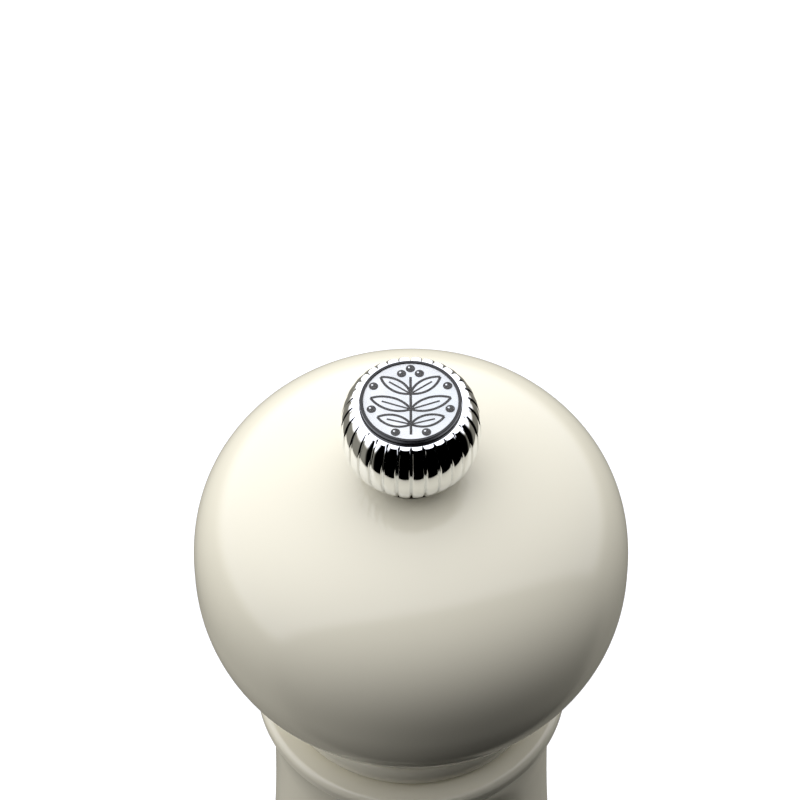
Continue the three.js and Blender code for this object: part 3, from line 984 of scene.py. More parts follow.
@dataclass
class Head:
    """The lacquered head: a flattened ball on a short neck, with a bare tenon below."""

    lathe: Lathe
    ball_radius: float = 27.0
    ball_up: tuple[float, float, float] = (20.25, 2.8, 2.25)
    ball_down: tuple[float, float, float] = (20.5, 2.2, 2.2)
    neck_radius: float = 16.8
    neck_bead_radius: float = 17.7
    neck_bead_height: float = 3.0
    top_radius: float = 6.2
    tenon_length: float = 9.2
    tenon_radius: float = 13.1
    bore_radius: float = 4.0
    bush_hole_radius: float = 5.0
    bush_depth: float = 3.3
    sides: int = 256
    ball_steps: int = 64

    def ball_height(self, radius: float, half: tuple[float, float, float]) -> float:
        """Height above or below the widest plane where the ball has a radius.

        Args:
            radius: The radius.
            half: The height of that half of the ball, and the two powers of its curve.

        Returns:
            The height, always positive.
        """
        height, along, across = half
        return height * (1 - (radius / self.ball_radius) ** across) ** (1 / along)

    def half_ball(self, half: tuple[float, float, float], sign: int, start: float, end: float) -> list[Point]:
        """Points of half the ball between two radii, evenly spread in angle.

        Args:
            half: The height of that half of the ball, and the two powers of its curve.
            sign: 1 for the upper half, -1 for the lower.
            start: The first radius.
            end: The last radius.

        Returns:
            The points.
        """
        first, last = (math.acos(radius / self.ball_radius) for radius in (start, end))
        shares = [i / self.ball_steps for i in range(self.ball_steps + 1)]
        radii = [self.ball_radius * math.cos(first + (last - first) * share) for share in shares]
        return [(r, self.ball_z() + sign * self.ball_height(min(r, self.ball_radius), half)) for r in radii]

    def ball_z(self) -> float:
        """Height of the ball's widest plane."""
        return mm_box("head_shell")[1].z - self.ball_height(self.top_radius, self.ball_up)

    def outline(self) -> Profile:
        """The head's closed outline."""
        low, high = mm_box("head_shell")
        bottom = low.z + self.tenon_length
        bead_top = bottom + self.neck_bead_height
        ball_start = self.half_ball(self.ball_down, -1, self.neck_radius, self.ball_radius)
        profile = Profile()
        tenon = [(self.bore_radius + 0.3, low.z), (self.tenon_radius - 0.6, low.z)]
        tenon += [(self.tenon_radius, low.z + 0.6), (self.tenon_radius, bottom)]
        profile.add(tenon, Cut.BARE)
        bead_out = self.neck_bead_radius - self.neck_radius
        profile.add([(self.neck_radius - 1.2, bottom)])
        profile.add(bead(self.neck_radius, bottom, self.neck_bead_height, bead_out, 14))
        groove = (self.neck_radius - 0.05, bead_top + 0.5)
        profile.add(arc(groove, (0.55, 0.45), 250, 110, 8))
        cove_top = ball_start[0]
        cove = (self.neck_radius - 0.1, bead_top + 1.1)
        middle = (self.neck_radius - 0.6, bead_top + 2.2), (self.neck_radius - 0.5, cove_top[1] - 0.8)
        profile.add(bezier(cove, *middle, cove_top, 10))
        profile.add(ball_start[1:])
        profile.add(self.half_ball(self.ball_up, 1, self.ball_radius, self.top_radius)[1:])
        profile.add([(self.bush_hole_radius + 0.3, high.z)])
        bore = [(self.bush_hole_radius, high.z - 0.3), (self.bush_hole_radius, high.z - self.bush_depth)]
        bore += line((self.bore_radius, high.z - self.bush_depth), (self.bore_radius, low.z + 0.3), 12)
        return profile.add(bore, Cut.BARE).closed()

    def build(self) -> None:
        """Turns the head, its bush and its drive plate."""
        shell = self.lathe.turn("head_turning", self.outline(), LACQUER, Tooling(sides=self.sides), BEECH)
        mount(shell, Body.HEAD, Slot.WOOD, "head_shell")
        low, high = mm_box("top_bush")
        bore = ring_profile(3.9, self.bush_hole_radius - 0.03, low.z, high.z)
        # The bush's brass is darkened as painted shade for the shadow under the knob.
        bush = self.lathe.turn("brass_bush", bore, SHADE_DARKENED_BRASS)
        mount(bush, Body.HEAD, Slot.BRASS, "top_bush")
        low, high = mm_box("drive_plate")
        plate = Profile().add([(3.0, low.z)], Cut.BROACHED)
        plate.add([(high.x - 0.3, low.z), (high.x, low.z + 0.3)])
        plate.add([(high.x, high.z - 0.2), (high.x - 0.2, high.z)])
        plate.add([(3.0, high.z)], Cut.BROACHED).closed()
        tooling = Tooling(sides=128, flats=4, across=SQUARE_HOLE)
        piece = self.lathe.turn("square_hole_plate", plate, PLATED, tooling)
        mount(piece, Body.HEAD, Slot.PLATED, "drive_plate")


# --------------------------------------------------------------------------- knob


@dataclass
class Knob:
    """The ribbed chrome knob, its black ring, printed disc and clear dome."""

    lathe: Lathe
    ribs: int = 30
    samples_per_rib: int = 20
    foot_radius: float = 4.6
    radius: float = 8.36
    rim_outer: float = 6.95
    rim_inner: float = 6.02
    foot_drop: float = 0.22
    groove_depth: float = 0.36
    groove_share: float = 0.24
    crown: float = 0.09
    notch: float = 1.7
    insert_radius: float = 3.5
    ring_width: float = 0.4
    ring_radius: float = 5.99

    def rim_z(self) -> float:
        """Height of the chrome rim's face."""
        return mm_box("knob_shell")[1].z

    def side(self) -> list[Point]:
        """The knob's side from its foot to its rim, as (radius, height) points."""
        bottom = mm_box("knob_shell")[0].z - self.foot_drop
        rim = self.rim_z()
        lower = bezier(
            (self.foot_radius + 0.15, bottom + 0.15),
            (self.foot_radius + 2.3, bottom + 0.9),
            (self.radius, bottom + 2.9),
            (self.radius, bottom + 5.5),
            26,
        )
        upper = bezier(
            (self.radius, bottom + 5.5),
            (self.radius, rim - 2.2),
            (self.radius - 0.6, rim - 0.85),
            (self.rim_outer + 0.05, rim - 0.06),
            22,
        )
        return lower + upper[1:]

    def build(self) -> None:
        """Makes the knob's pieces."""
        low = mm_box("knob_shell")[0]
        rim = self.rim_z()
        floor = mm_box("medallion")[0].z - 0.05
        socket = self.insert_radius + 0.02
        profile = Profile().add([(socket, low.z + 0.2), (self.foot_radius, low.z - self.foot_drop)])
        side = self.side()
        for i, point in enumerate(side):
            notched = max(0.0, 1 - (len(side) - 1 - i) / 5) * (self.notch - 1)
            profile.add([point], Cut.RIBBED, min(1.0, i / 8) + notched)
        profile.add([(self.rim_outer, rim)], Cut.RIBBED, self.notch)
        profile.add([(self.rim_outer - 0.3, rim + 0.01)], Cut.RIBBED, 0.6)
        profile.add([(self.rim_outer - 0.6, rim + 0.01)], Cut.RIBBED, 0.0)
        profile.add([(self.rim_inner + 0.06, rim), (self.rim_inner, rim - 0.06), (self.rim_inner, floor)])
        profile.add([(0, floor), (0, low.z + 7.0), (socket, low.z + 7.0)]).closed()
        tooling = Tooling(
            sides=self.ribs * self.samples_per_rib,
            count=self.ribs,
            depth=self.groove_depth,
            share=self.groove_share,
            crown=self.crown,
            angle=28,
        )
        piece = self.lathe.turn("ribbed_knob", profile, CHROME, tooling)
        mount(piece, Body.KNOB, Slot.CHROME, "knob_shell")
        self.build_insert()
        self.build_top(floor)

    def build_insert(self) -> None:
        """Makes the threaded brass insert and the washer under the knob."""
        low, high = mm_box("knob_insert")
        profile = Profile().add([(2.9, low.z), (self.insert_radius - 0.2, low.z)])
        profile.add([(self.insert_radius, low.z + 0.2)])
        profile.add([(self.insert_radius, high.z), (2.9, high.z)])
        profile.add(line((2.75, high.z - 0.2), (2.75, low.z + 0.2), 70), Cut.RIBBED).closed()
        tooling = Tooling(sides=48, count=1, turns=1 / THREAD_PITCH, depth=-0.22)
        piece = self.lathe.turn("threaded_insert", profile, BRASS, tooling)
        mount(piece, Body.KNOB, Slot.BRASS, "knob_insert")
        low, high = mm_box("knob_washer")
        # The washer's brass is darkened as painted shade for the shadow under the knob.
        washer = self.lathe.turn("foot_washer", ring_profile(3.9, high.x, low.z, high.z, 0.1), SHADE_DARKENED_BRASS)
        mount(washer, Body.WASHER, Slot.BRASS, "knob_washer")

    def build_top(self, floor: float) -> None:
        """Makes the printed disc, the raised black ring round it and the clear dome over it.

        Args:
            floor: Height of the recess's floor.
        """
        ring_top = mm_box("trim_ring")[1].z
        disc_z = ring_top - 0.14
        inner = self.ring_radius - self.ring_width
        ring = ring_profile(inner, self.ring_radius, floor + 0.02, ring_top, 0.06)
        piece = self.lathe.turn("black_ring", ring, TRIM, Tooling(sides=160))
        mount(piece, Body.KNOB, Slot.TRIM, "trim_ring")
        reach = inner - 0.01
        disc = Profile().add([(0, floor + 0.02), (reach, floor + 0.02), (reach, disc_z), (0, disc_z)])
        piece = self.lathe.turn("printed_disc", disc, ENAMEL)
        mount(piece, Body.KNOB, Slot.ENAMEL, "medallion")
        mount(Artwork(disc_z, reach).build(), Body.KNOB, Slot.ENAMEL)
        top = CAD_BOX[1][2] / MM - 0.01
        base = disc_z + 0.04
        dome = Profile().add(line((0, base), (reach - 0.02, base), 30))
        dome.add(bezier((reach, base + 0.04), (reach, ring_top + 0.05), (0.72 * reach, top), (0, top), 40))
        clear = self.lathe.turn("resin_dome", dome, RESIN, Tooling(sides=160, angle=24))
        mount(clear, Body.KNOB, Slot.RESIN, "medallion_dome")


@dataclass
class Artwork:
    """A plain printed ornament: an upright sprig with leaves and peppercorns, alike on both sides.

    Args:
        height: Height of the disc's face, in millimetres.
        reach: Radius the print may fill.
    """

    height: float
    reach: float
    width: float = 0.31
    lift: float = 0.004
    thickness: float = 0.012
    level: int = 0
    mesh: bmesh.types.BMesh = field(default_factory=bmesh.new)

    def surface(self) -> float:
        """A height for the next shape, a little above the last, so that no two coincide."""
        self.level += 1
        return (self.height + self.thickness + self.lift * 0.1 * self.level) * MM

    def clipped(self, point: Point) -> Point:
        """Keeps a point inside the disc."""
        distance = math.hypot(*point)
        scale = min(1.0, (self.reach - 0.01) / max(distance, 1e-9))
        return (point[0] * scale, point[1] * scale)

    def pair(self, point: Point, top: float) -> tuple[bmesh.types.BMVert, bmesh.types.BMVert]:
        """Adds the upper and the lower vertex of a printed point.

        Args:
            point: The point.
            top: The shape's height, in metres.

        Returns:
            Both vertices.
        """
        x, y = self.clipped(point)
        bottom = top - 0.8 * self.thickness * MM
        return self.mesh.verts.new((x * MM, y * MM, top)), self.mesh.verts.new((x * MM, y * MM, bottom))

    def face(self, corners: Sequence[bmesh.types.BMVert], ink: int) -> None:
        """Adds one face in an ink."""
        self.mesh.faces.new(corners).material_index = ink

    def wall(self, rim: Sequence[tuple], ink: int) -> None:
        """Closes the side of a shape.

        Args:
            rim: The pairs of vertices round it, anticlockwise.
            ink: The ink.
        """
        for (upper_a, lower_a), (upper_b, lower_b) in zip(rim, [*rim[1:], rim[0]]):
            self.face((lower_a, lower_b, upper_b, upper_a), ink)

    def patch(self, outline: Sequence[Point], ink: int = 0) -> None:
        """Prints a filled shape.

        Args:
            outline: Its outline, anticlockwise.
            ink: 0 for the dark ink, 1 for the light one.
        """
        top = self.surface()
        rim = [self.pair(point, top) for point in outline]
        self.face([upper for upper, _ in rim], ink)
        self.face([lower for _, lower in reversed(rim)], ink)
        self.wall(rim, ink)

    def stroke(self, points: Sequence[Point], width: float | None = None) -> None:
        """Prints a line of even width with square ends.

        Args:
            points: The line's points.
            width: Its width, or None for the usual one.
        """
        half = (width or self.width) / 2
        top = self.surface()
        rows = []
        for i, (x, y) in enumerate(points):
            before, after = points[max(i - 1, 0)], points[min(i + 1, len(points) - 1)]
            along = Vector((after[0] - before[0], after[1] - before[1])).normalized()
            rows.append([self.pair((x - s * along.y * half, y + s * along.x * half), top) for s in (-1, 1)])
        for (right_a, left_a), (right_b, left_b) in zip(rows, rows[1:]):
            self.face((right_a[0], right_b[0], left_b[0], left_a[0]), 0)
            self.face((left_a[1], left_b[1], right_b[1], right_a[1]), 0)
        self.wall([row[0] for row in rows] + [row[1] for row in reversed(rows)], 0)

    def circle(self, center: Point, radius: float, steps: int = 40) -> list[Point]:
        """Points of a circle, anticlockwise."""
        return arc(center, (radius, radius), 0, 360 - 360 / steps, steps - 1)

    def leaf(self, base: Point, tip: Point, bulge: float) -> None:
        """Prints a leaf's outline and its midrib.

        Args:
            base: Where it leaves the stem.
            tip: Its point.
            bulge: Half its width, in millimetres.
        """
        along = Vector(tip) - Vector(base)
        across = Vector((-along.y, along.x)).normalized() * bulge * 1.33
        handles = [Vector(base) + along * share for share in (0.3, 0.75)]
        upper = bezier(base, tuple(handles[0] + across), tuple(handles[1] + across * 0.8), tip, 14)
        lower = bezier(tip, tuple(handles[1] - across * 0.8), tuple(handles[0] - across), base, 14)
        self.stroke(upper)
        self.stroke(lower)
        self.stroke(line(base, tuple(Vector(base) + along * 0.72), 4), self.width * 0.7)

    def build(self) -> bpy.types.Object:
        """Prints the ornament.

        Returns:
            The print, a thin closed mesh on the disc's face.
        """
        self.stroke(line((0, -4.9), (0, 3.6), 20))
        leaves = ((-3.4, (3.9, -2.3), 0.9), (-1.2, (4.7, 0.5), 1.0), (1.1, (3.5, 3.6), 0.9))
        corns = ((1.05, 4.1), (1.8, -4.55), (4.6, -1.15), (4.35, 2.25))
        for side in (-1, 1):
            for foot, tip, bulge in leaves:
                self.leaf((0, foot), (side * tip[0], tip[1]), bulge)
        for x, y in ((0, 4.85), *((side * x, y) for side in (-1, 1) for x, y in corns)):
            self.patch(self.circle((x, y), 0.55))
            self.patch(self.circle((x - 0.17, y + 0.17), 0.13, 12), 1)
        mesh = bpy.data.meshes.new("printed_ornament")
        self.mesh.to_mesh(mesh)
        self.mesh.free()
        mesh.materials.append(INK.material())
        mesh.materials.append(ENAMEL.material())
        return add_object("printed_ornament", mesh)


# --------------------------------------------------------------------------- mechanism


class BoltCircle(Recipe):
    """Sets copies of a screw round a circle, each turned at random."""

    NAME = "bolt_circle"
    INPUTS = {"Count": "Int", "Radius": "Float", "Finish": "Material"}

    def shape(self, graph: Graph, source) -> Socket:
        """Puts the screw on each point of a circle.

        Args:
            graph: The tree's builder.
            source: The tree's input sockets.

        Returns:
            The screws.
        """
        ring = {"Vertices": source["Count"], "Radius": source["Radius"]}
        circle = graph.add("GeometryNodeMeshCircle", ring)
        turned = graph.add("ShaderNodeCombineXYZ", {2: self._turn(graph)})
        inputs = {"Points": circle.outputs[0], "Instance": source["Blank"], "Rotation": turned.outputs[0]}
        return graph.add("GeometryNodeInstanceOnPoints", inputs).outputs[0]

    @staticmethod
    def _turn(graph: Graph) -> Socket:
        """A random turn for each screw, with a fixed seed."""
        node = graph.add("FunctionNodeRandomValue", {"Seed": SEED}, data_type="FLOAT")
        for socket in node.inputs:
            if socket.name == "Max" and socket.type == "VALUE":
                socket.default_value = FULL_TURN
        return next(s for s in node.outputs if s.type == "VALUE")

    def place(self, name: str, screw: bpy.types.Object, count: int, radius: float) -> bpy.types.Object:
        """Sets screws round the circle and removes the pattern screw.

        Args:
            name: The new object's name.
            screw: The pattern screw, on the axis at its final height.
            count: How many there are.
            radius: The circle's radius, in millimetres.

        Returns:
            The screws, as one mesh.
        """
        values = {"Count": count, "Radius": radius * MM, "Finish": PLATED.material()}
        copies = self.run(name, screw.data.copy(), values)
        bpy.data.objects.remove(screw)
        tidy_shading(copies, 32)
        return copies


class SpringCoil(Recipe):
    """Winds round wire into a coil."""

    NAME = "spring_coil"
    INPUTS = {
        "Radius": "Float",
        "Wire": "Float",
        "Height": "Float",
        "Turns": "Float",
        "Bottom": "Float",
        "Finish": "Material",
    }

    def shape(self, graph: Graph, source) -> Socket:
        """Sweeps a round section along a raised spiral.

        Args:
            graph: The tree's builder.
            source: The tree's input sockets.

        Returns:
            The coil.
        """
        inputs = {"Resolution": 40, "Rotations": source["Turns"], "Height": source["Height"]}
        inputs |= {"Start Radius": source["Radius"], "End Radius": source["Radius"]}
        spiral = graph.add("GeometryNodeCurveSpiral", inputs)
        lift = graph.add("ShaderNodeCombineXYZ", {2: source["Bottom"]})
        placing = {"Geometry": spiral.outputs[0], "Translation": lift.outputs[0]}
        raised = graph.add("GeometryNodeTransform", placing)
        wire = graph.add("GeometryNodeCurvePrimitiveCircle", {"Resolution": 14, "Radius": source["Wire"]})
        sweep = {"Curve": raised.outputs[0], "Profile Curve": wire.outputs[0], "Fill Caps": True}
        return graph.add("GeometryNodeCurveToMesh", sweep).outputs[0]

    def wind(
        self, name: str, radius: float, wire: float, bottom: float, top: float, turns: float
    ) -> bpy.types.Object:
        """Winds one spring.

        Args:
            name: Its name.
            radius: Its mean radius, in millimetres.
            wire: The wire's radius.
            bottom: Height of its lower end.
            top: Height of its upper end.
            turns: Its turns.

        Returns:
            The spring.
        """
        values = {
            "Radius": radius * MM,
            "Wire": wire * MM,
            "Height": (top - bottom - 2 * wire) * MM,
            "Turns": turns,
            "Bottom": (bottom + wire) * MM,
            "Finish": SPRING_STEEL.material(),
        }
        coil = self.run(name, bpy.data.meshes.new(name + "_blank"), values)
        tidy_shading(coil, 50)
        return coil


@dataclass
class Screw:
    """A pan-head screw that points up, with a slotted head below."""

    head_radius: float
    head_height: float
    shank_radius: float
    shank_length: float
    pitch: float = 0.9

    def build(self, lathe: Lathe, name: str, head_top: float) -> bpy.types.Object:
        """Makes the screw on the axis.

        Args:
            lathe: The lathe.
            name: Its name.
            head_top: Height of the head's flat upper face, in millimetres.

        Returns:
            The screw.
        """
        low = head_top - self.head_height
        profile = Profile().add([(0, low)])
        dome = (self.head_radius * 0.65, self.head_height - 0.3)
        profile.add(arc((self.head_radius * 0.35, head_top - 0.3), dome, -90, 0, 10))
        profile.add([(self.head_radius, head_top - 0.08), (self.head_radius - 0.08, head_top)])
        profile.add([(self.shank_radius, head_top), (self.shank_radius, head_top + 1.4)])
        tip = head_top + self.shank_length
        cone = tip - 2.2 * self.shank_radius
        profile.add(line((self.shank_radius, head_top + 1.5), (self.shank_radius, cone), 70), Cut.RIBBED)
        profile.add(line((self.shank_radius, cone), (0.25, tip - 0.1), 20)[1:], Cut.RIBBED, 0.7)
        profile.add([(0, tip)])
        tooling = Tooling(sides=32, count=1, turns=1 / self.pitch, depth=0.32 * self.shank_radius, angle=40)
        screw = lathe.turn(name, profile, PLATED, tooling)
        self.slot_head(screw, low)
        return screw

    def slot_head(self, screw: bpy.types.Object, low: float) -> None:
        """Cuts the driver's slot across the head.

        Args:
            screw: The screw.
            low: Height of the head's lowest point.
        """
        width, depth = 0.3 * self.head_radius, 0.5 * self.head_height
        blade = bpy.data.meshes.new("slot_cutter")
        cutter = bmesh.new()
        bmesh.ops.create_cube(cutter, size=1)
        for corner in cutter.verts:
            corner.co.x *= 3 * self.head_radius * MM
            corner.co.y *= width * MM
            corner.co.z = (low + depth if corner.co.z > 0 else low - 1) * MM
        cutter.to_mesh(blade)
        cutter.free()
        tool = add_object("slot_cutter", blade)
        modifier = screw.modifiers.new("slot", "BOOLEAN")
        modifier.operation = "DIFFERENCE"
        modifier.object = tool
        graph = bpy.context.evaluated_depsgraph_get()
        result = bpy.data.meshes.new_from_object(screw.evaluated_get(graph), depsgraph=graph)
        screw.modifiers.clear()
        screw.data = result
        bpy.data.objects.remove(tool)


@dataclass
class Mechanism:
    """Spindle, burrs, burr plate, spring and the small pieces that hold them."""

    lathe: Lathe
    screws: BoltCircle
    coil: SpringCoil
    shaft_side: float = 5.0
    corner_radius: float = 3.3
    thread_radius: float = 2.4
    plate_screw: Screw = field(default_factory=lambda: Screw(1.9, 1.2, 1.05, 9.0))
    drive_screw: Screw = field(default_factory=lambda: Screw(2.5, 1.3, 1.15, 8.5))

    def build(self) -> None:
        """Makes every piece of the mechanism."""
        self.build_spindle()
        self.build_burrs()
        self.build_small_rings()
        self.build_nut()
        self.build_spring()
        self.build_screws()
        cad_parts["bridge"].data.materials.clear()
        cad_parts["bridge"].data.materials.append(PLATED.material())
        LOG.info("bridge: keeps its CAD shape")

    def build_spindle(self) -> None:
        """Makes the square shaft with its stub and its threaded end."""
        low, high = mm_box("spindle")
        square_from = mm_box("male_burr")[0].z
        shoulder = high.z - 9.2
        radius, stub = self.corner_radius, self.thread_radius
        profile = Profile().add([(0, low.z), (stub - 0.4, low.z), (stub, low.z + 0.4)])
        profile.add([(stub, square_from)])
        profile.add([(stub + 0.3, square_from), (radius, square_from + 0.4)], Cut.MILLED)
        profile.add(line((radius, square_from + 0.6), (radius, shoulder - 0.8), 60), Cut.MILLED)
        profile.add([(stub + 0.1, shoulder)], Cut.MILLED)
        profile.add([(stub - 0.3, shoulder + 0.05), (stub - 0.3, shoulder + 0.8)])
        profile.add(line((stub, shoulder + 0.9), (stub, high.z - 0.5), 90), Cut.RIBBED)
        profile.add([(stub - 0.5, high.z), (0, high.z)])
        tooling = Tooling(
            sides=96, count=1, turns=1 / THREAD_PITCH, depth=0.42, flats=4, across=self.shaft_side
        )
        spindle = self.lathe.turn("square_spindle", profile, PLATED, tooling)
        mount(spindle, Body.SPINDLE, Slot.PLATED, "spindle")

    def build_burrs(self) -> None:
        """Makes the two burrs with their slanted saw teeth, and the plate that holds the outer one."""
        low, high = mm_box("male_burr")
        profile = Profile().add([(SQUARE_HOLE_BLANK, low.z)], Cut.BROACHED)
        profile.add([(8.2, low.z)])
        flank = line((9.9, low.z + 0.2), (8.6, low.z + 5.3), 16)
        flank += line((8.6, low.z + 5.4), (6.8, high.z - 0.1), 8)
        profile.add(flank, Cut.RIBBED)
        profile.add([(5.4, high.z)])
        profile.add([(SQUARE_HOLE_BLANK, high.z)], Cut.BROACHED).closed()
        tooling = Tooling(
            sides=288, count=12, turns=0.12, depth=1.35, skew=0.25, across=SQUARE_HOLE, angle=24
        )
        piece = self.lathe.turn("inner_burr", profile, BURR_STEEL, tooling)
        mount(piece, Body.SPINDLE, Slot.BURR, "male_burr")
        low, high = mm_box("female_burr")
        profile = Profile().add([(10.6, low.z), (high.x - 0.3, low.z), (high.x, low.z + 0.3)])
        profile.add([(high.x, high.z - 0.3), (high.x - 0.3, high.z), (11.9, high.z)])
        bore = line((10.8, high.z - 0.1), (9.2, low.z + 3.5), 14)
        bore += line((9.2, low.z + 3.4), (10.3, low.z + 0.1), 10)
        profile.add(bore, Cut.RIBBED).closed()
        tooling = Tooling(sides=324, count=18, turns=-0.1, depth=-0.9, skew=0.3, angle=24)
        piece = self.lathe.turn("outer_burr", profile, BURR_STEEL, tooling)
        mount(piece, Body.MILL, Slot.BURR, "female_burr")
        low, high = mm_box("burr_plate")
        ring = ring_profile(12, 19.2, low.z, high.z, 0.25)
        plate = self.lathe.turn("holding_plate", ring, PLATED, Tooling(160))
        mount(plate, Body.MILL, Slot.PLATED, "burr_plate")

    def build_small_rings(self) -> None:
        """Makes the spring seat and the washer under the male burr."""
        low, high = mm_box("spring_seat")
        square = Tooling(sides=96, flats=4, across=SQUARE_HOLE)
        seat = square_holed(low, high, 0.2)
        piece = self.lathe.turn("sprung_seat", seat, BRASS, square)
        mount(piece, Body.SEAT, Slot.BRASS, "spring_seat")
        low, high = mm_box("burr_washer")
        washer = self.lathe.turn("lower_washer", ring_profile(2.6, high.x, low.z, high.z, 0.12), BRASS)
        mount(washer, Body.SPINDLE, Slot.BRASS, "burr_washer")

    def build_nut(self) -> None:
        """Makes the hexagon nut with chamfered corners and a threaded hole."""
        low, high = mm_box("burr_nut")
        radius = high.x
        profile = Profile().add([(2.6, low.z)])
        profile.add([(radius - 0.75, low.z), (radius, low.z + 0.4), (radius, high.z - 0.4)], Cut.MILLED)
        profile.add([(radius - 0.75, high.z)], Cut.MILLED)
        profile.add([(2.6, high.z)])
        profile.add(line((2.5, high.z - 0.1), (2.5, low.z + 0.1), 24), Cut.RIBBED).closed()
        tooling = Tooling(sides=96, turns=1 / THREAD_PITCH, depth=-0.15, flats=6, across=7.0)
        piece = self.lathe.turn("hexagon_nut", profile, PLATED, tooling)
        mount(piece, Body.SPINDLE, Slot.PLATED, "burr_nut")

    def build_spring(self) -> None:
        """Winds the spring, which stretches between its seat and the male burr."""
        low, high = mm_box("burr_spring")
        top = mm_box("spring_seat")[0].z
        bottom = mm_box("male_burr")[1].z
        spring = self.coil.wind("wire_spring", 4.6, 0.45, max(low.z, bottom), min(high.z, top), 3.5)
        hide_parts("burr_spring")
        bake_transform(spring)
        LOG.info("%s: %d faces, stretches with burr_lift", spring.name, len(spring.data.polygons))

    def build_screws(self) -> None:
        """Sets the screws of the burr plate and of the drive plate."""
        top = mm_box("burr_plate")[0].z
        pattern = self.plate_screw.build(self.lathe, "plate_screw_pattern", top - 0.05)
        nodes = [f"plate_screw_{i}" for i in (1, 2, 3)]
        mount(self.screws.place("plate_screws", pattern, 3, 17.2), Body.MILL, Slot.PLATED, *nodes)
        top = mm_box("drive_plate")[0].z
        pattern = self.drive_screw.build(self.lathe, "drive_screw_pattern", top - 0.05)
        nodes = [f"drive_screw_{i}" for i in (1, 2)]
        pair = self.opposite(pattern, 8.0)
        mount(pair, Body.HEAD, Slot.PLATED, *nodes)

    def opposite(self, pattern: bpy.types.Object, radius: float) -> bpy.types.Object:
        """Sets a screw on each side of the axis.

        Args:
            pattern: The pattern screw on the axis.
            radius: The screws' distance from the axis, in millimetres.

        Returns:
            Both screws, as one mesh.
        """
        pair = bmesh.new()
        for side in (-1, 1):
            start = len(pair.verts)
            pair.from_mesh(pattern.data)
            pair.verts.ensure_lookup_table()
            bmesh.ops.translate(pair, verts=pair.verts[start:], vec=(side * radius * MM, 0, 0))
        mesh = bpy.data.meshes.new("drive_screws")
        pair.to_mesh(mesh)
        pair.free()
        mesh.materials.append(PLATED.material())
        bpy.data.objects.remove(pattern)
        screws = add_object("drive_screws", mesh)
        tidy_shading(screws, 32)
        return screws


# --------------------------------------------------------------------------- studio


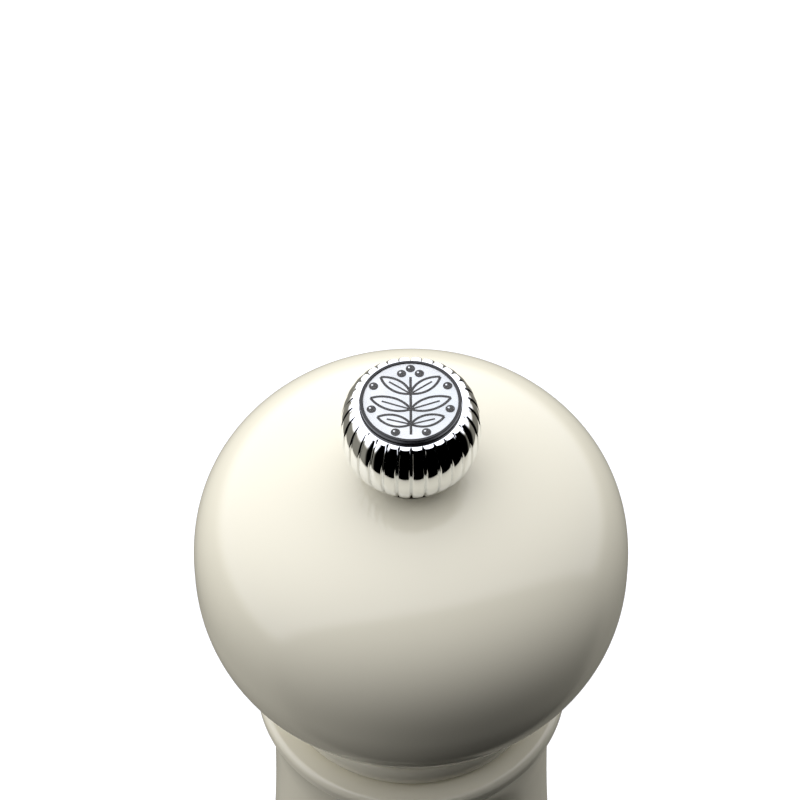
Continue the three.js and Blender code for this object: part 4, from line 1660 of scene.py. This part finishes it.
@dataclass
class Studio:
    """Camera, pale floor and soft light from above and behind, a little from the left."""

    distance: float = 0.4
    aim_above_ball: float = 32.4
    ball_elevation: float = 55.09
    side_shift: float = -1.25
    roll: float = -0.35
    focal_length: float = 144.0
    dark_side: tuple[float, float, float] = (0.286, -0.929, -0.237)
    dark_reach: float = 77.6
    softness: float = 5.0
    light_strength: float = 1.83
    light_color: tuple[float, float, float] = (0.975, 0.985, 1.05)
    right_loss: float = 0.25
    ground_share: float = 0.13
    ground_color: tuple[float, float, float] = (1.0, 0.955, 0.8)
    underneath: float = 0.06
    floor_radius: float = 4.0

    def build(self, ball_z: float) -> None:
        """Sets up the studio.

        Args:
            ball_z: Height of the head's widest plane, in millimetres.
        """
        self.add_camera(ball_z * MM)
        self.add_floor()
        self.add_world()
        view = bpy.context.scene.view_settings
        view.view_transform = "Standard"
        view.look = "None"
        LOG.info("studio: camera, floor and light set")

    def add_camera(self, ball_z: float) -> None:
        """Puts the camera above and in front of the head, looking down at the knob."""
        angle = math.radians(self.ball_elevation)
        x = self.side_shift * MM
        place = Vector((x, -self.distance * math.cos(angle), ball_z + self.distance * math.sin(angle)))
        aim = Vector((x, 0, ball_z + self.aim_above_ball * MM))
        data = bpy.data.cameras.new("camera")
        data.lens = self.focal_length
        data.sensor_width = 36
        data.clip_start = 0.01
        camera = bpy.data.objects.new("camera", data)
        camera.location = place
        turn = (aim - place).to_track_quat("-Z", "Y")
        camera.rotation_euler = turn.to_euler()
        camera.rotation_euler.rotate_axis("Z", math.radians(self.roll))
        bpy.context.scene.collection.objects.link(camera)
        bpy.context.scene.camera = camera

    def add_floor(self) -> None:
        """Lays a plain pale floor that takes no part in the object's reflections."""
        shape = bmesh.new()
        bmesh.ops.create_circle(shape, cap_ends=True, segments=64, radius=self.floor_radius)
        mesh = bpy.data.meshes.new("floor")
        shape.to_mesh(mesh)
        shape.free()
        floor = add_object("floor", mesh)
        shader = Shader("pale_floor", {"Roughness": 0.9, "Specular IOR Level": 0.1})
        shader.set("Base Color", shader.blend(shader.noise(3, 2), (0.96, 0.96, 0.96), (0.95, 0.95, 0.95)))
        mesh.materials.append(shader.material)
        floor.visible_diffuse = False
        floor.visible_glossy = False
        floor.visible_transmission = False

    def add_world(self) -> None:
        """Surrounds the scene with white light, apart from a dark room in front."""
        world = bpy.data.worlds.new("studio")
        world.use_nodes = True
        bpy.context.scene.world = world
        graph = Graph(world.node_tree)
        world.node_tree.nodes.clear()
        direction = graph.add("ShaderNodeTexCoord").outputs["Generated"]
        axis = tuple(Vector(self.dark_side).normalized())
        facing = graph.add("ShaderNodeVectorMath", {0: direction, 1: axis}, operation="DOT_PRODUCT")
        angle = graph.math("ARCCOSINE", facing.outputs["Value"])
        edges = [math.radians(self.dark_reach + side * self.softness) for side in (-1, 1)]
        white = self._smooth(graph, angle, edges[0], edges[1], 0, self.light_strength)
        parts = graph.add("ShaderNodeSeparateXYZ", {0: direction}).outputs
        side = self._smooth(graph, parts[0], -0.2, 1.0, 1, 1 - self.right_loss)
        ground = self._smooth(graph, parts[2], -0.25, 0.05, self.ground_share, 1)
        sky = graph.math("MULTIPLY", graph.math("MULTIPLY", white, side), ground)
        below = self._smooth(graph, parts[2], -0.98, -0.9, self.underneath, 0)
        hue = graph.add("ShaderNodeMix", data_type="RGBA")
        graph.feed(hue.inputs[0], self._smooth(graph, parts[2], -0.25, 0.05, 0, 1))
        graph.feed(hue.inputs[6], (*self.ground_color, 1))
        graph.feed(hue.inputs[7], (*self.light_color, 1))
        total = graph.math("ADD", sky, below)
        light = graph.add("ShaderNodeBackground", {"Color": hue.outputs[2], "Strength": total})
        plain = graph.add("ShaderNodeBackground", {"Color": (1, 1, 1, 1), "Strength": 1.0})
        seen = graph.add("ShaderNodeLightPath").outputs["Is Camera Ray"]
        mixed = graph.add("ShaderNodeMixShader", {0: seen, 1: light.outputs[0], 2: plain.outputs[0]})
        graph.add("ShaderNodeOutputWorld", {0: mixed.outputs[0]})

    @staticmethod
    def _smooth(graph: Graph, value: Socket, start: float, end: float, low: float, high: float) -> Socket:
        """Maps a value smoothly from one range to another."""
        inputs = {"Value": value, "From Min": start, "From Max": end, "To Min": low, "To Max": high}
        return graph.add("ShaderNodeMapRange", inputs, interpolation_type="SMOOTHSTEP").outputs[0]


def main() -> None:
    """Builds the mill from its foot to its knob, and the studio round it."""
    logging.basicConfig(level=logging.INFO, format="%(name)s %(message)s")
    lathe = Lathe()
    head = Head(lathe)
    steps: list[tuple[str, Callable[[], None]]] = [
        ("studio", lambda: Studio().build(head.ball_z())),
        ("body", MillBody(lathe).build),
        ("mechanism", Mechanism(lathe, BoltCircle(), SpringCoil()).build),
        ("head", head.build),
        ("knob", Knob(lathe).build),
    ]
    for name, build in steps:
        build()
        LOG.info("%s done", name)


if __name__ == "__main__":
    main()
